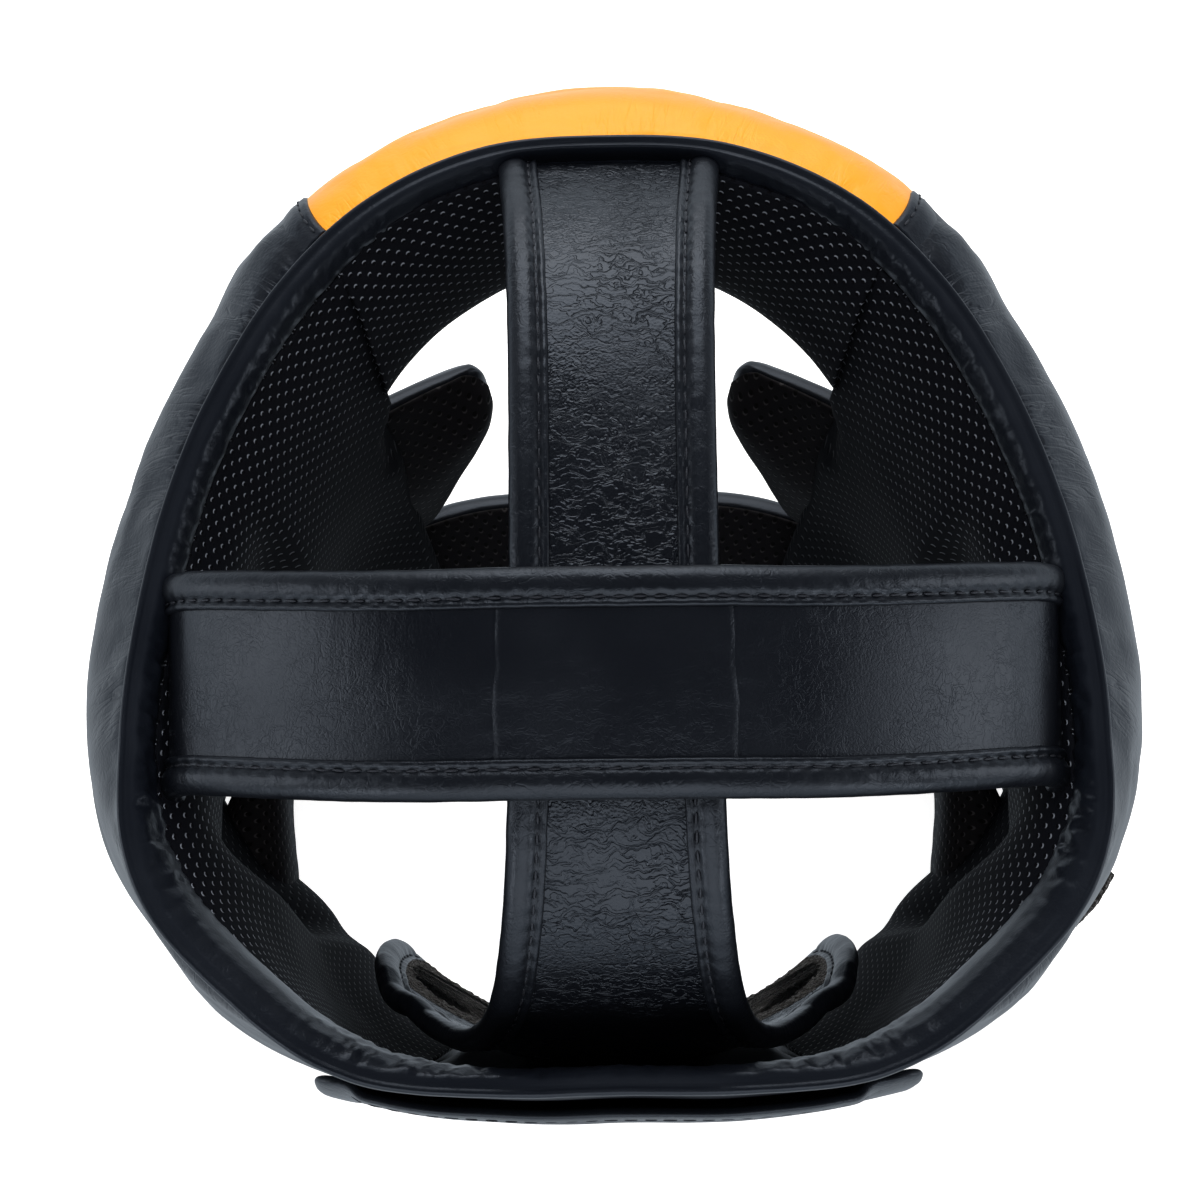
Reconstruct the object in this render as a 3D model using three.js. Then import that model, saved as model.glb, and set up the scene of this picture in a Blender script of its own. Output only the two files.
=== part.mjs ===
// Full face boxing headgear: padded leather shell, perforated lining, crown straps and rear closure.
// Millimetres, +Z up, face toward -Y, standing on the chin guard and the lower edges of the side pads.
// Every section is given by an angle round the head (0 at the forehead, 90 at the wearer's left ear),
// a radius from the head's upright axis and a height above the table.

import * as THREE from 'three';

// Driving dimensions
const GAP = 0.3;                    // clearance between neighbouring pieces
const RIM_WIDTH = 5.4;              // leather rim facing, from the piping to its inner edge
const RIM_ROOM = 3.4;               // height that the rim binding takes above the pads
const RIM_DEPTH = 6.5;              // how far the rim facing reaches down inside
const BINDING_SKIN = 1.6;           // thickness of the rim binding
const LINING = 1.5;                 // perforated lining with its thin foam
const PAD_FRONT_ANGLE = 37;         // seam between the forehead panel and the side panels
const PAD_REAR_ANGLE = 150;         // seam between the side pads and the thin rear panel
const CHEEK_LINE = 85;              // height of the cheek bone, where the mid columns are taken
const TEMPLE_LINE = 150;            // height of the temple, where the upper column is taken
const EAR_POCKET_DEPTH = 26;        // recess for the ear in the side pad
const EAR_POCKET_ANGLES = [66, 73, 104, 112];
const EAR_PAD_PLACE = { radius: 88, height: 30 };
const PAD_FOOT = 5;                 // width of the rounding at the lower edge of a side pad
const CHEEK_LEAN = 0.045;           // the cheek guards lean outward by this share of their height
const SOFT_CORNER = { across: 0.62, up: 0.5 };   // smaller values give squarer pad sections
const REAR_WALL = 4;                // thin rear panel
const CLOSURE = { thickness: 3.4, middle: 128, halfHeight: 30, endAngle: 143 };
const STRAP = 2.6;                  // doubled strap leather
const STRAP_BINDING = { skin: 1.2, width: 7.6 };
const CROSS_STRAP_WIDTH = 48;
const CROSS_STRAP_SLOPE = { crown: 0.28, ends: 0.2 };   // rise of its width toward the front
const CROSS_STRAP_DROOP = 2.4;      // its edges hang below its middle at the crown
const CROSS_STRAP_SHEAR = 0.14;     // the strap's ends follow the slant of the rim
const TAIL_BEND = 106;              // radius of the nape tail seen from above
const LOOP_PATCH = 1.2;             // hook and loop pile
const HOOK_TAB = { angle: -112.5, halfAngle: 2.2, low: 104, high: 130, thickness: 3 };

const LEATHER = { color: 0x15181f, roughness: 0.42, metalness: 0 };
const ORANGE = { color: 0xf59a1c, roughness: 0.4, metalness: 0 };
const LINING_CLOTH = { color: 0x10131c, roughness: 0.8, metalness: 0 };
const PILE = { color: 0x26211f, roughness: 0.95, metalness: 0 };

// A table has one row for each section; the first column is the one that it is read by
function table(columns, rows) {
  return rows.map((row) => Object.fromEntries(columns.map((name, i) => [name, row[i]])));
}

// Piping line along the whole top edge
const RIM = table(
  ['angle', 'rim', 'rimZ'],
  [
    [0, 109, 212],
    [15, 110.3, 211.7],
    [30, 109, 211],
    [45, 105.4, 209.6],
    [60, 102.3, 208],
    [75, 102, 206],
    [90, 104.8, 204.2],
    [105, 111.9, 203],
    [115, 118.8, 201.8],
    [123, 121.6, 200.6],
    [135, 120.6, 198.4],
    [145, 120.2, 196.2],
    [152, 118, 194.8],
    [165, 110.4, 193],
    [180, 106.4, 192],
  ],
);

const FOREHEAD = table(
  ['angle', 'bulge', 'bulgeZ', 'lowOut', 'lowIn', 'lowZ', 'upIn'],
  [
    [0, 136, 181, 127, 107, 139, 102.5],
    [12, 136, 180, 126, 104.5, 139, 101],
    [24, 133.6, 178, 122, 99, 139.5, 97],
    [37, 130.4, 173, 116, 91, 141, 92.5],
  ],
);

const SIDE = table(
  ['angle', 'bulge', 'bulgeZ', 'midOut', 'lowOut', 'lowIn', 'lowZ', 'midIn', 'upIn'],
  [
    [37, 130.4, 173, 107, 96, 74, 5, 83.5, 91],
    [50, 124, 165, 109.5, 97, 75.5, 3, 82, 84.5],
    [65, 121.4, 156, 113.5, 102, 77.5, 1, 79.5, 80.5],
    [80, 121.8, 147, 119, 112.5, 79, 0, 78.5, 79.5],
    [95, 124, 139, 121.4, 115, 79, 0, 78, 82],
    [108, 123.2, 138, 117, 104, 75.5, 0, 78, 88],
    [120, 121.4, 140, 111.5, 91, 71.5, 0, 83, 96],
    [135, 117.6, 144, 106, 88, 72, 12, 91, 103],
    [150, 109, 144, 95, 84.5, 75, 30, 89, 102],
  ],
);

const REAR = table(
  ['angle', 'upOut', 'midOut', 'lowOut', 'lowZ'],
  [
    [150, 109, 95, 83, 32],
    [165, 102, 88.5, 78.5, 40],
    [180, 98.6, 86.4, 77, 44],
  ],
);

const CHEEK = table(
  ['angle', 'low', 'top', 'inner', 'outer'],
  [
    [36.4, 49.2, 118, 83, 106],
    [33, 50, 116.5, 83, 106],
    [30, 58, 115, 83.5, 105.6],
    [27, 68, 113, 84.5, 105],
    [24, 77, 111.5, 86, 104],
    [21.5, 84, 109.5, 88.5, 102.6],
    [19.8, 90, 106, 91.5, 100.5],
    [19, 94.5, 101.5, 94, 98],
  ],
);

const CHIN = table(
  ['angle', 'inner', 'outer', 'low', 'top'],
  [
    [0, 64, 88, 0, 46],
    [12, 65.5, 89.5, 0, 46.8],
    [24, 69.5, 93, 0, 48],
    [36.4, 74, 96, 3, 48.6],
  ],
);

const EAR_PAD = table(
  ['angle', 'halfWidth', 'halfHeight'],
  [
    [71, 1.8, 10],
    [72.6, 3.8, 15],
    [76, 4.8, 18.5],
    [84, 5, 19.5],
    [95, 5, 19.5],
    [101, 4.8, 18.5],
    [105, 3.6, 14],
    [107, 1.6, 9],
  ],
);

// Middle line of the front-to-back strap: forward distance, height and half width along the bend
const TOP_STRAP = table(
  ['forward', 'height', 'halfWidth'],
  [
    [97.4, 207.6, 23.8],
    [94, 213.4, 23.4],
    [84, 224, 22.6],
    [66, 234.5, 21.8],
    [44, 241.5, 21.3],
    [16, 244.6, 21.2],
    [-14, 243.6, 21.2],
    [-42, 236.6, 21.3],
    [-62, 224.5, 21.5],
    [-76, 208, 21.9],
    [-84.6, 188, 22.2],
    [-88, 166, 22.5],
    [-87.6, 144, 22.8],
    [-84.6, 124, 23.4],
    [-82.6, 115, 25],
    [-81.2, 109, 28.5],
    [-80.2, 105, 34],
    [-79.5, 102, 43],
    [-78.8, 99.5, 54],
    [-77.8, 96, 60.5],
    [-75.6, 88, 63.6],
    [-71, 74, 64],
    [-66.6, 61, 63],
    [-64.2, 54, 59.5],
    [-62.9, 50.5, 52],
  ],
);
const TAIL_FROM = 14;               // row of TOP_STRAP where the strap starts to widen into the tail

// Middle line of the side-to-side strap, from the crown to the wearer's left rim
const CROSS_STRAP = table(
  ['side', 'forward', 'height'],
  [
    [0, -31.8, 246.4],
    [24, -31.6, 245.6],
    [40, -30.6, 241.6],
    [58, -28, 233.6],
    [74, -24.4, 223.4],
    [87, -20.6, 212.4],
    [94.2, -18, 203.8],
    [96.4, -17, 200],
  ],
);

const smoothstep = THREE.MathUtils.smoothstep;
const lerp = THREE.MathUtils.lerp;

// Smooth value of one column of a table at x
function valueAt(rows, name, x) {
  const key = Object.keys(rows[0])[0];
  const rising = rows[rows.length - 1][key] > rows[0][key];
  const passed = rows.filter((row) => (rising ? row[key] <= x : row[key] >= x)).length;
  const i = THREE.MathUtils.clamp(passed - 1, 0, rows.length - 2);
  const slope = (j) => {
    if (rows[j][key] % 180 === 0) {
      return 0;                     // symmetric about the middle plane
    }
    const a = rows[Math.max(j - 1, 0)];
    const b = rows[Math.min(j + 1, rows.length - 1)];
    return (b[name] - a[name]) / (b[key] - a[key]);
  };
  const step = rows[i + 1][key] - rows[i][key];
  const t = (x - rows[i][key]) / step;
  const held = rows[i][name] * (2 * t ** 3 - 3 * t ** 2 + 1) + rows[i + 1][name] * (3 * t ** 2 - 2 * t ** 3);
  return held + step * (slope(i) * (t ** 3 - 2 * t ** 2 + t) + slope(i + 1) * (t ** 3 - t ** 2));
}

function rowAt(rows, x) {
  return Object.fromEntries(Object.keys(rows[0]).map((name) => [name, valueAt(rows, name, x)]));
}

// Section values at an angle, with the piping line's radius and height
function shellRow(rows, angle) {
  const behind = 180 - Math.abs(180 - Math.abs(angle));
  return { ...rowAt(rows, behind), ...rowAt(RIM, behind) };
}

// Point of the shell: [radius, height] in the upright half plane at an angle
function onShell(angle, [radius, height]) {
  const turn = THREE.MathUtils.degToRad(angle);
  return new THREE.Vector3(radius * Math.sin(turn), -radius * Math.cos(turn), height);
}

function ringOnShell(angle, section) {
  return section.map((point) => onShell(angle, point));
}

// Smooth open line through a few points of any length
function smoothLine(points, count) {
  const corners = points.map((p) => new THREE.Vector3(...p, 0));
  return new THREE.CatmullRomCurve3(corners, false, 'centripetal').getSpacedPoints(count).map((p) => [p.x, p.y]);
}

function offsetLine(line, distance) {
  return line.map((point, i) => {
    const a = line[Math.max(i - 1, 0)];
    const b = line[Math.min(i + 1, line.length - 1)];
    const length = Math.hypot(b[0] - a[0], b[1] - a[1]);
    return [point[0] - (distance * (b[1] - a[1])) / length, point[1] + (distance * (b[0] - a[0])) / length];
  });
}

// Thin wall beside a line: a closed section between two offsets of it
function wallSection(line, near, far) {
  return [...offsetLine(line, near), ...offsetLine(line, far).reverse()];
}

// Rounded block section with soft corners between two radii and two heights
function blockSection(inner, outer, low, top, lean, count) {
  const points = [];
  const peak = Math.cos(Math.PI / count);
  for (let i = 0; i < count; i += 1) {
    const turn = (2 * Math.PI * (i + 0.5)) / count;
    const across = Math.sign(Math.cos(turn)) * (Math.abs(Math.cos(turn)) / peak) ** SOFT_CORNER.across;
    const up = Math.sign(Math.sin(turn)) * (Math.abs(Math.sin(turn)) / peak) ** SOFT_CORNER.up;
    const radius = (inner + outer) / 2 + (across * (outer - inner)) / 2 + lean * up;
    points.push([radius, (low + top) / 2 + (up * (top - low)) / 2]);
  }
  return points;
}

// Closed body through rings of equal count, capped at both ends or joined into a loop
function loft(rings, loop = false) {
  const count = rings[0].length;
  const points = rings.flat();
  const index = [];
  const spans = loop ? rings.length : rings.length - 1;
  for (let i = 0; i < spans; i += 1) {
    const here = i * count;
    const next = ((i + 1) % rings.length) * count;
    for (let j = 0; j < count; j += 1) {
      const k = (j + 1) % count;
      const [a, b, c, d] = [here + j, next + j, next + k, here + k];
      if (points[a].distanceTo(points[c]) < points[b].distanceTo(points[d])) {
        index.push(a, b, c, a, c, d);
      } else {
        index.push(a, b, d, b, c, d);
      }
    }
  }
  if (!loop) {
    const last = (rings.length - 1) * count;
    capTriangles(rings[0]).forEach(([a, b, c]) => index.push(a, b, c));
    capTriangles(rings[rings.length - 1]).forEach(([a, b, c]) => index.push(last + a, last + c, last + b));
  }
  const geometry = new THREE.BufferGeometry().setFromPoints(points);
  geometry.setIndex(facingOut(points, index));
  geometry.computeVertexNormals();
  return geometry;
}

// Triangles over a nearly flat ring, wound as the ring runs
function capTriangles(ring) {
  const normal = new THREE.Vector3();
  ring.forEach((p, i) => normal.add(p.clone().cross(ring[(i + 1) % ring.length])));
  normal.normalize();
  const across = ring[1].clone().sub(ring[0]);
  across.addScaledVector(normal, -across.dot(normal)).normalize();
  const up = normal.clone().cross(across);
  return THREE.ShapeUtils.triangulateShape(ring.map((p) => new THREE.Vector2(p.dot(across), p.dot(up))), []);
}

function facingOut(points, index) {
  let volume = 0;
  for (let i = 0; i < index.length; i += 3) {
    volume += points[index[i]].clone().cross(points[index[i + 1]]).dot(points[index[i + 2]]);
  }
  return volume > 0 ? index : index.reverse();
}

function angles(from, to, count) {
  return Array.from({ length: count + 1 }, (_, i) => lerp(from, to, i / count));
}

const FOREHEAD_STATIONS = angles(-PAD_FRONT_ANGLE + GAP, PAD_FRONT_ANGLE - GAP, 12);
const SIDE_STATIONS = [
  ...angles(PAD_FRONT_ANGLE + GAP, 63, 4),
  66, 69.5, 73, 80, 88, 96, 104, 106.7, 109.3, 112,
  ...angles(117, PAD_REAR_ANGLE - GAP, 5),
];

const REAR_STATIONS = angles(PAD_REAR_ANGLE + GAP, 360 - PAD_REAR_ANGLE - GAP, 10);
const RIM_STATIONS = [
  ...FOREHEAD_STATIONS.slice(6),
  ...SIDE_STATIONS,
  ...REAR_STATIONS,
  ...SIDE_STATIONS.map((angle) => 360 - angle).reverse(),
  ...FOREHEAD_STATIONS.slice(0, 6).map((angle) => 360 + angle),
];

// How far the ear pocket is open at an angle, from 0 to 1
function earPocket(angle) {
  const [start, open, close, end] = EAR_POCKET_ANGLES;
  return smoothstep(angle, start, open) * (1 - smoothstep(angle, close, end));
}

// Inner face of a side pad from the rim down, with the ear pocket
function sideInner(angle) {
  const row = shellRow(SIDE, angle);
  const pocket = EAR_POCKET_DEPTH * earPocket(angle);
  return smoothLine([
    [row.rim - RIM_WIDTH + 1.4, row.rimZ - RIM_ROOM - 1],
    [row.rim - RIM_WIDTH + 1, row.rimZ - RIM_DEPTH - 1],
    [lerp(row.upIn, row.rim - RIM_WIDTH, 0.62), lerp(TEMPLE_LINE, row.rimZ, 0.62)],
    [row.upIn + 0.35 * pocket, TEMPLE_LINE],
    [row.midIn + pocket, CHEEK_LINE],
    [row.lowIn + pocket, row.lowZ + 9],
  ], 10);
}

function sideSection(angle) {
  const row = shellRow(SIDE, angle);
  const pocket = EAR_POCKET_DEPTH * earPocket(angle);
  const foot = Math.min(PAD_FOOT, (row.lowOut - row.lowIn - pocket) / 4);
  const outer = smoothLine([
    [row.rim, row.rimZ - RIM_ROOM - 0.6],
    [lerp(row.rim, row.bulge, 0.74), lerp(row.rimZ, row.bulgeZ, 0.34)],
    [row.bulge, row.bulgeZ],
    [row.midOut, CHEEK_LINE],
    [row.lowOut, row.lowZ + 14],
    [row.lowOut - foot, row.lowZ],
    [row.lowIn + pocket + foot, row.lowZ],
  ], 14);
  const section = [...outer, ...sideInner(angle).reverse()];
  const floor = Math.max(row.lowZ, 0);
  return section.map(([radius, height]) => [radius, Math.max(height, floor)]);
}

function foreheadInner(angle) {
  const row = shellRow(FOREHEAD, angle);
  return smoothLine([
    [row.rim - RIM_WIDTH + 1.4, row.rimZ - RIM_ROOM - 1],
    [row.rim - RIM_WIDTH + 1, row.rimZ - RIM_DEPTH - 1],
    [lerp(row.rim - RIM_WIDTH, row.upIn, 0.6), lerp(row.rimZ, row.lowZ, 0.3)],
    [row.upIn, lerp(row.rimZ, row.lowZ, 0.55)],
    [row.lowIn - 1.5, row.lowZ + 10],
    [row.lowIn + 1.5, row.lowZ + 3],
  ], 8);
}

function foreheadSection(angle) {
  const row = shellRow(FOREHEAD, angle);
  const outer = smoothLine([
    [row.rim, row.rimZ - RIM_ROOM - 0.6],
    [lerp(row.rim, row.bulge, 0.74), lerp(row.rimZ, row.bulgeZ, 0.34)],
    [row.bulge, row.bulgeZ],
    [lerp(row.lowOut, row.bulge, 0.5), lerp(row.lowZ, row.bulgeZ, 0.36)],
    [row.lowOut - 3, row.lowZ + 2],
    [lerp(row.lowOut, row.lowIn, 0.55), row.lowZ],
  ], 12);
  return [...outer, ...foreheadInner(angle).reverse()];
}

// Lining over an inner face, leaving its first points to the rim binding
function liningSection(inner) {
  return wallSection(inner.slice(1), -GAP, -GAP - LINING);
}

function sectionLoft(stations, section) {
  return loft(stations.map((angle) => ringOnShell(angle, section(angle))));
}

function mirroredStations(stations, side) {
  return stations.map((angle) => side * angle);
}

function foreheadPad() {
  return sectionLoft(FOREHEAD_STATIONS, foreheadSection);
}

function foreheadLining() {
  return sectionLoft(FOREHEAD_STATIONS, (angle) => liningSection(foreheadInner(angle)));
}

function sidePad(side) {
  return sectionLoft(mirroredStations(SIDE_STATIONS, side), (angle) => sideSection(Math.abs(angle)));
}

function sideLining(side) {
  const section = (angle) => liningSection(sideInner(Math.abs(angle)));
  return sectionLoft(mirroredStations(SIDE_STATIONS, side), section);
}

function rearLine(angle) {
  const row = shellRow(REAR, angle);
  return [
    [row.rim - 0.7, row.rimZ - RIM_ROOM - 1.2],
    [row.upOut, 144],
    [row.midOut, CHEEK_LINE + 8],
    [row.lowOut, row.lowZ],
  ];
}

function rearPanel() {
  return sectionLoft(REAR_STATIONS, (angle) => wallSection(smoothLine(rearLine(angle), 7), 0, -REAR_WALL));
}

// Outer face of the shell behind the closing strap, as heights and radii
function rearOuterRadius(angle, height) {
  const behind = 180 - Math.abs(180 - angle);
  if (behind < PAD_REAR_ANGLE) {
    const row = rowAt(SIDE, behind);
    return lerp(row.midOut, row.bulge, smoothstep(height, CHEEK_LINE - 25, row.bulgeZ + 12));
  }
  const line = smoothLine(rearLine(angle), 24);
  const i = Math.max(line.findIndex((point) => point[1] < height), 1);
  const share = (height - line[i][1]) / (line[i - 1][1] - line[i][1]);
  return lerp(line[i][0], line[i - 1][0], share);
}

function closureStrap() {
  const half = 180 - CLOSURE.endAngle;
  const offsets = [-half, -half + 0.8, -half + 2.4, -half + 5, ...angles(-half + 9, half - 9, 10)];
  offsets.push(half - 5, half - 2.4, half - 0.8, half);
  const rings = offsets.map((offset) => {
    const fromEnd = (half - Math.abs(offset)) / 9;
    const reach = CLOSURE.halfHeight * Math.sqrt(1 - (1 - Math.min(fromEnd, 1)) ** 2 * 0.86);
    const stand = 3 * GAP + 0.6 * smoothstep(Math.abs(offset), 24, 30);
    const heights = angles(CLOSURE.middle + reach, CLOSURE.middle - reach, 4);
    const line = heights.map((height) => [rearOuterRadius(180 + offset, height) + stand, height]);
    return ringOnShell(180 + offset, wallSection(line, 0, CLOSURE.thickness));
  });
  return loft(rings);
}

// Rolled leather along the whole top edge
function rimBinding() {
  const rings = RIM_STATIONS.map((angle) => {
    const { rim, rimZ } = shellRow(RIM, angle);
    const inside = rim - RIM_WIDTH;
    const line = [
      [inside - 1.6, rimZ - RIM_DEPTH],
      [inside - 1.1, rimZ - 2.6],
      [inside + 1.5, rimZ - 0.6],
      [rim - 1.3, rimZ - 0.4],
      [rim + 0.7, rimZ - 2],
    ];
    return ringOnShell(angle, wallSection(line, 0.2, 0.2 - BINDING_SKIN));
  });
  return loft(rings, true);
}

// Cheek guard: a thumb shaped pad that ends in a rounded tip beside the nose
function cheekSection(angle) {
  const row = rowAt(CHEEK, Math.abs(angle));
  return blockSection(row.inner, row.outer, row.low, row.top, CHEEK_LEAN * (row.top - row.low), 16);
}

function cheekGuard(side) {
  return sectionLoft(mirroredStations(CHEEK.map((row) => row.angle), side), cheekSection);
}

function cheekLining(side) {
  const stations = angles(CHEEK[0].angle, 21, 7);
  return sectionLoft(mirroredStations(stations, side), (angle) => {
    const row = rowAt(CHEEK, Math.abs(angle));
    const lean = CHEEK_LEAN * (row.top - row.low);
    const middle = (row.low + row.top) / 2;
    const reach = (row.top - row.low) * 0.33;
    const line = [1, 0.5, 0, -0.5, -1].map((up) => [row.inner - GAP + lean * up * 0.8, middle + up * reach]);
    return wallSection(line, -GAP, -GAP - LINING);
  });
}

function chinSection(angle) {
  const row = rowAt(CHIN, Math.abs(angle));
  return blockSection(row.inner, row.outer, Math.max(row.low, 0), row.top, 0, 20);
}

function chinGuard() {
  return sectionLoft(angles(-CHIN[3].angle, CHIN[3].angle, 14), chinSection);
}

function chinLining() {
  return sectionLoft(angles(-CHIN[3].angle, CHIN[3].angle, 14), (angle) => {
    const row = rowAt(CHIN, Math.abs(angle));
    const line = [0.8, 0.65, 0.5, 0.35, 0.2].map((up) => [row.inner, lerp(row.low, row.top, up)]);
    return wallSection(line, -GAP, -GAP - LINING);
  });
}

// Bolster below the ear that closes the lower mouth of the ear pocket
function earPad(side) {
  const rings = EAR_PAD.map(({ angle, halfWidth, halfHeight }) => {
    const { radius, height } = EAR_PAD_PLACE;
    const [inner, outer] = [radius - halfWidth, radius + halfWidth];
    const section = blockSection(inner, outer, height - halfHeight, height + halfHeight, 0, 12);
    return ringOnShell(side * angle, section);
  });
  return loft(rings);
}

// Frames along the front-to-back strap: middle point, direction across and direction off the head
function topStrapFrames(perRow) {
  const path = TOP_STRAP.map((row) => new THREE.Vector3(0, -row.forward, row.height));
  const curve = new THREE.CatmullRomCurve3(path, false, 'centripetal');
  const steps = (TOP_STRAP.length - 1) * perRow;
  return Array.from({ length: steps + 1 }, (_, i) => {
    const t = i / steps;
    const along = curve.getTangent(t);
    const off = new THREE.Vector3(0, -along.z, along.y);
    return { row: i / perRow, middle: curve.getPoint(t), off };
  });
}

// Point of the strap's sheet at a distance across and a distance off its middle surface.
// The strap lies flat on the crown, and its tail bends round the nape.
function strapPoint(frame, across, off) {
  const bent = smoothstep(frame.row, TAIL_FROM - 3, TAIL_FROM + 3);
  const turn = across / TAIL_BEND;
  const round = new THREE.Vector3(TAIL_BEND * Math.sin(turn), -TAIL_BEND * (1 - Math.cos(turn)), 0);
  const flat = new THREE.Vector3(across, 0, -(across * across) / 700);
  const outward = frame.off.clone();
  outward.x = bent * Math.sin(turn);
  outward.normalize();
  return frame.middle.clone().add(flat.lerp(round, bent)).addScaledVector(outward, off);
}

function halfWidthAt(row) {
  const i = Math.min(Math.floor(row), TOP_STRAP.length - 2);
  return lerp(TOP_STRAP[i].halfWidth, TOP_STRAP[i + 1].halfWidth, row - i);
}

function sheetRing(frame, from, to, low, high, count) {
  const places = angles(from, to, count);
  const top = places.map((across) => strapPoint(frame, across, high));
  return [...top, ...places.reverse().map((across) => strapPoint(frame, across, low))];
}

function topStrap() {
  const rings = topStrapFrames(1).map((frame) => {
    const half = halfWidthAt(frame.row);
    return sheetRing(frame, -half, half, -STRAP / 2, STRAP / 2, 8);
  });
  return loft(rings);
}

// Folded leather strip over one edge of the front-to-back strap, down to where the tail flares
function topStrapBinding(side) {
  const { skin, width } = STRAP_BINDING;
  const inner = STRAP / 2 + GAP;
  const rings = topStrapFrames(1).slice(0, TAIL_FROM + 1).map((frame) => {
    const edge = halfWidthAt(frame.row) + GAP;
    const section = [
      [edge - width, inner + skin], [edge + skin, inner + skin],
      [edge + skin, -inner - skin], [edge - width, -inner - skin],
      [edge - width, -inner], [edge, -inner],
      [edge, inner], [edge - width, inner],
    ];
    return section.map(([across, off]) => strapPoint(frame, side * across, off));
  });
  return loft(rings);
}

// Pile patch on the inner face of the nape tail
function loopPatch(side) {
  const inner = -STRAP / 2 - 2 * GAP;
  const rings = topStrapFrames(1).slice(TAIL_FROM + 5, TOP_STRAP.length - 1).map((frame) => {
    const outer = halfWidthAt(frame.row) - 6;
    return sheetRing(frame, side * 24, side * outer, inner - LOOP_PATCH, inner, 4);
  });
  return loft(rings);
}

// Frames along the side-to-side strap, from the wearer's right rim to the left one.
// Its width slopes up to the front, as the crown does.
function crossStrapFrames() {
  const left = CROSS_STRAP.map((row) => new THREE.Vector3(row.side, -row.forward, row.height));
  const right = left.slice(1).reverse().map((p) => new THREE.Vector3(-p.x, p.y, p.z));
  const curve = new THREE.CatmullRomCurve3([...right, ...left], false, 'centripetal');
  return angles(0, 1, 26).map((t) => {
    const along = curve.getTangentAt(t);
    const fromCrown = 2 * t - 1;
    const slope = lerp(CROSS_STRAP_SLOPE.crown, CROSS_STRAP_SLOPE.ends, fromCrown ** 2);
    const across = new THREE.Vector3(0, -1, slope);
    across.addScaledVector(along, -across.dot(along)).normalize();
    const off = across.clone().cross(along).normalize();
    const droop = CROSS_STRAP_DROOP * (1 - fromCrown ** 2);
    return { middle: curve.getPointAt(t), along, across, off, droop, shear: -CROSS_STRAP_SHEAR * fromCrown };
  });
}

function crossPoint(frame, across, off) {
  const edgeShare = (2 * across) / CROSS_STRAP_WIDTH;
  return frame.middle.clone()
    .addScaledVector(frame.across, across)
    .addScaledVector(frame.along, frame.shear * across)
    .addScaledVector(frame.off, off - frame.droop * edgeShare ** 2);
}

function crossStrap() {
  const places = angles(-CROSS_STRAP_WIDTH / 2, CROSS_STRAP_WIDTH / 2, 4);
  const rings = crossStrapFrames().map((frame) => [
    ...places.map((across) => crossPoint(frame, across, STRAP / 2)),
    ...places.map((across) => crossPoint(frame, -across, -STRAP / 2)),
  ]);
  return loft(rings);
}

function crossStrapBinding(side) {
  const { skin, width } = STRAP_BINDING;
  const inner = STRAP / 2 + GAP;
  const edge = CROSS_STRAP_WIDTH / 2 + GAP;
  const section = [
    [edge - width, inner + skin], [edge + skin, inner + skin],
    [edge + skin, -inner - skin], [edge - width, -inner - skin],
    [edge - width, -inner], [edge, -inner],
    [edge, inner], [edge - width, inner],
  ];
  const ring = (frame) => section.map(([across, off]) => crossPoint(frame, side * across, off));
  return loft(crossStrapFrames().map(ring));
}

// Small hook tape end on the wearer's right, standing off the side pad
function hookTab() {
  const { angle, halfAngle, low, high, thickness } = HOOK_TAB;
  return sectionLoft(angles(angle - halfAngle, angle + halfAngle, 2), (at) => {
    const row = rowAt(SIDE, Math.abs(at));
    const line = angles(high, low, 3).map((height) => {
      const radius = lerp(row.midOut, row.bulge, smoothstep(height, CHEEK_LINE - 25, row.bulgeZ + 12));
      return [radius + 1.6, height];
    });
    return wallSection(line, 0, thickness);
  });
}

const headgear = new THREE.Group();

function addPiece(name, geometry, finish) {
  const piece = new THREE.Mesh(geometry, new THREE.MeshStandardMaterial(finish));
  piece.name = name;
  headgear.add(piece);
}

addPiece('forehead_pad', foreheadPad(), ORANGE);
addPiece('forehead_lining', foreheadLining(), LINING_CLOTH);
addPiece('chin_guard', chinGuard(), LEATHER);
addPiece('chin_lining', chinLining(), LINING_CLOTH);
addPiece('rear_panel', rearPanel(), LEATHER);
addPiece('rim_binding', rimBinding(), LEATHER);
addPiece('closure_strap', closureStrap(), LEATHER);
addPiece('top_strap', topStrap(), LEATHER);
addPiece('cross_strap', crossStrap(), LEATHER);
addPiece('cross_strap_front_binding', crossStrapBinding(1), LEATHER);
addPiece('cross_strap_rear_binding', crossStrapBinding(-1), LEATHER);
addPiece('hook_tab', hookTab(), LEATHER);

for (const [name, side] of [['left', 1], ['right', -1]]) {
  addPiece(`${name}_side_pad`, sidePad(side), LEATHER);
  addPiece(`${name}_side_lining`, sideLining(side), LINING_CLOTH);
  addPiece(`${name}_cheek_guard`, cheekGuard(side), LEATHER);
  addPiece(`${name}_cheek_lining`, cheekLining(side), LINING_CLOTH);
  addPiece(`${name}_ear_pad`, earPad(side), LINING_CLOTH);
  addPiece(`top_strap_${name}_binding`, topStrapBinding(side), LEATHER);
  addPiece(`${name}_loop_patch`, loopPatch(side), PILE);
}

// The origin is on the table, under the middle of the headgear's box
const box = new THREE.Box3().setFromObject(headgear);
headgear.position.y = -(box.min.y + box.max.y) / 2;

export default headgear;
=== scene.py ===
import math
import random
import bmesh
import bpy
from mathutils import Matrix, Quaternion, Vector, noise


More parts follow.
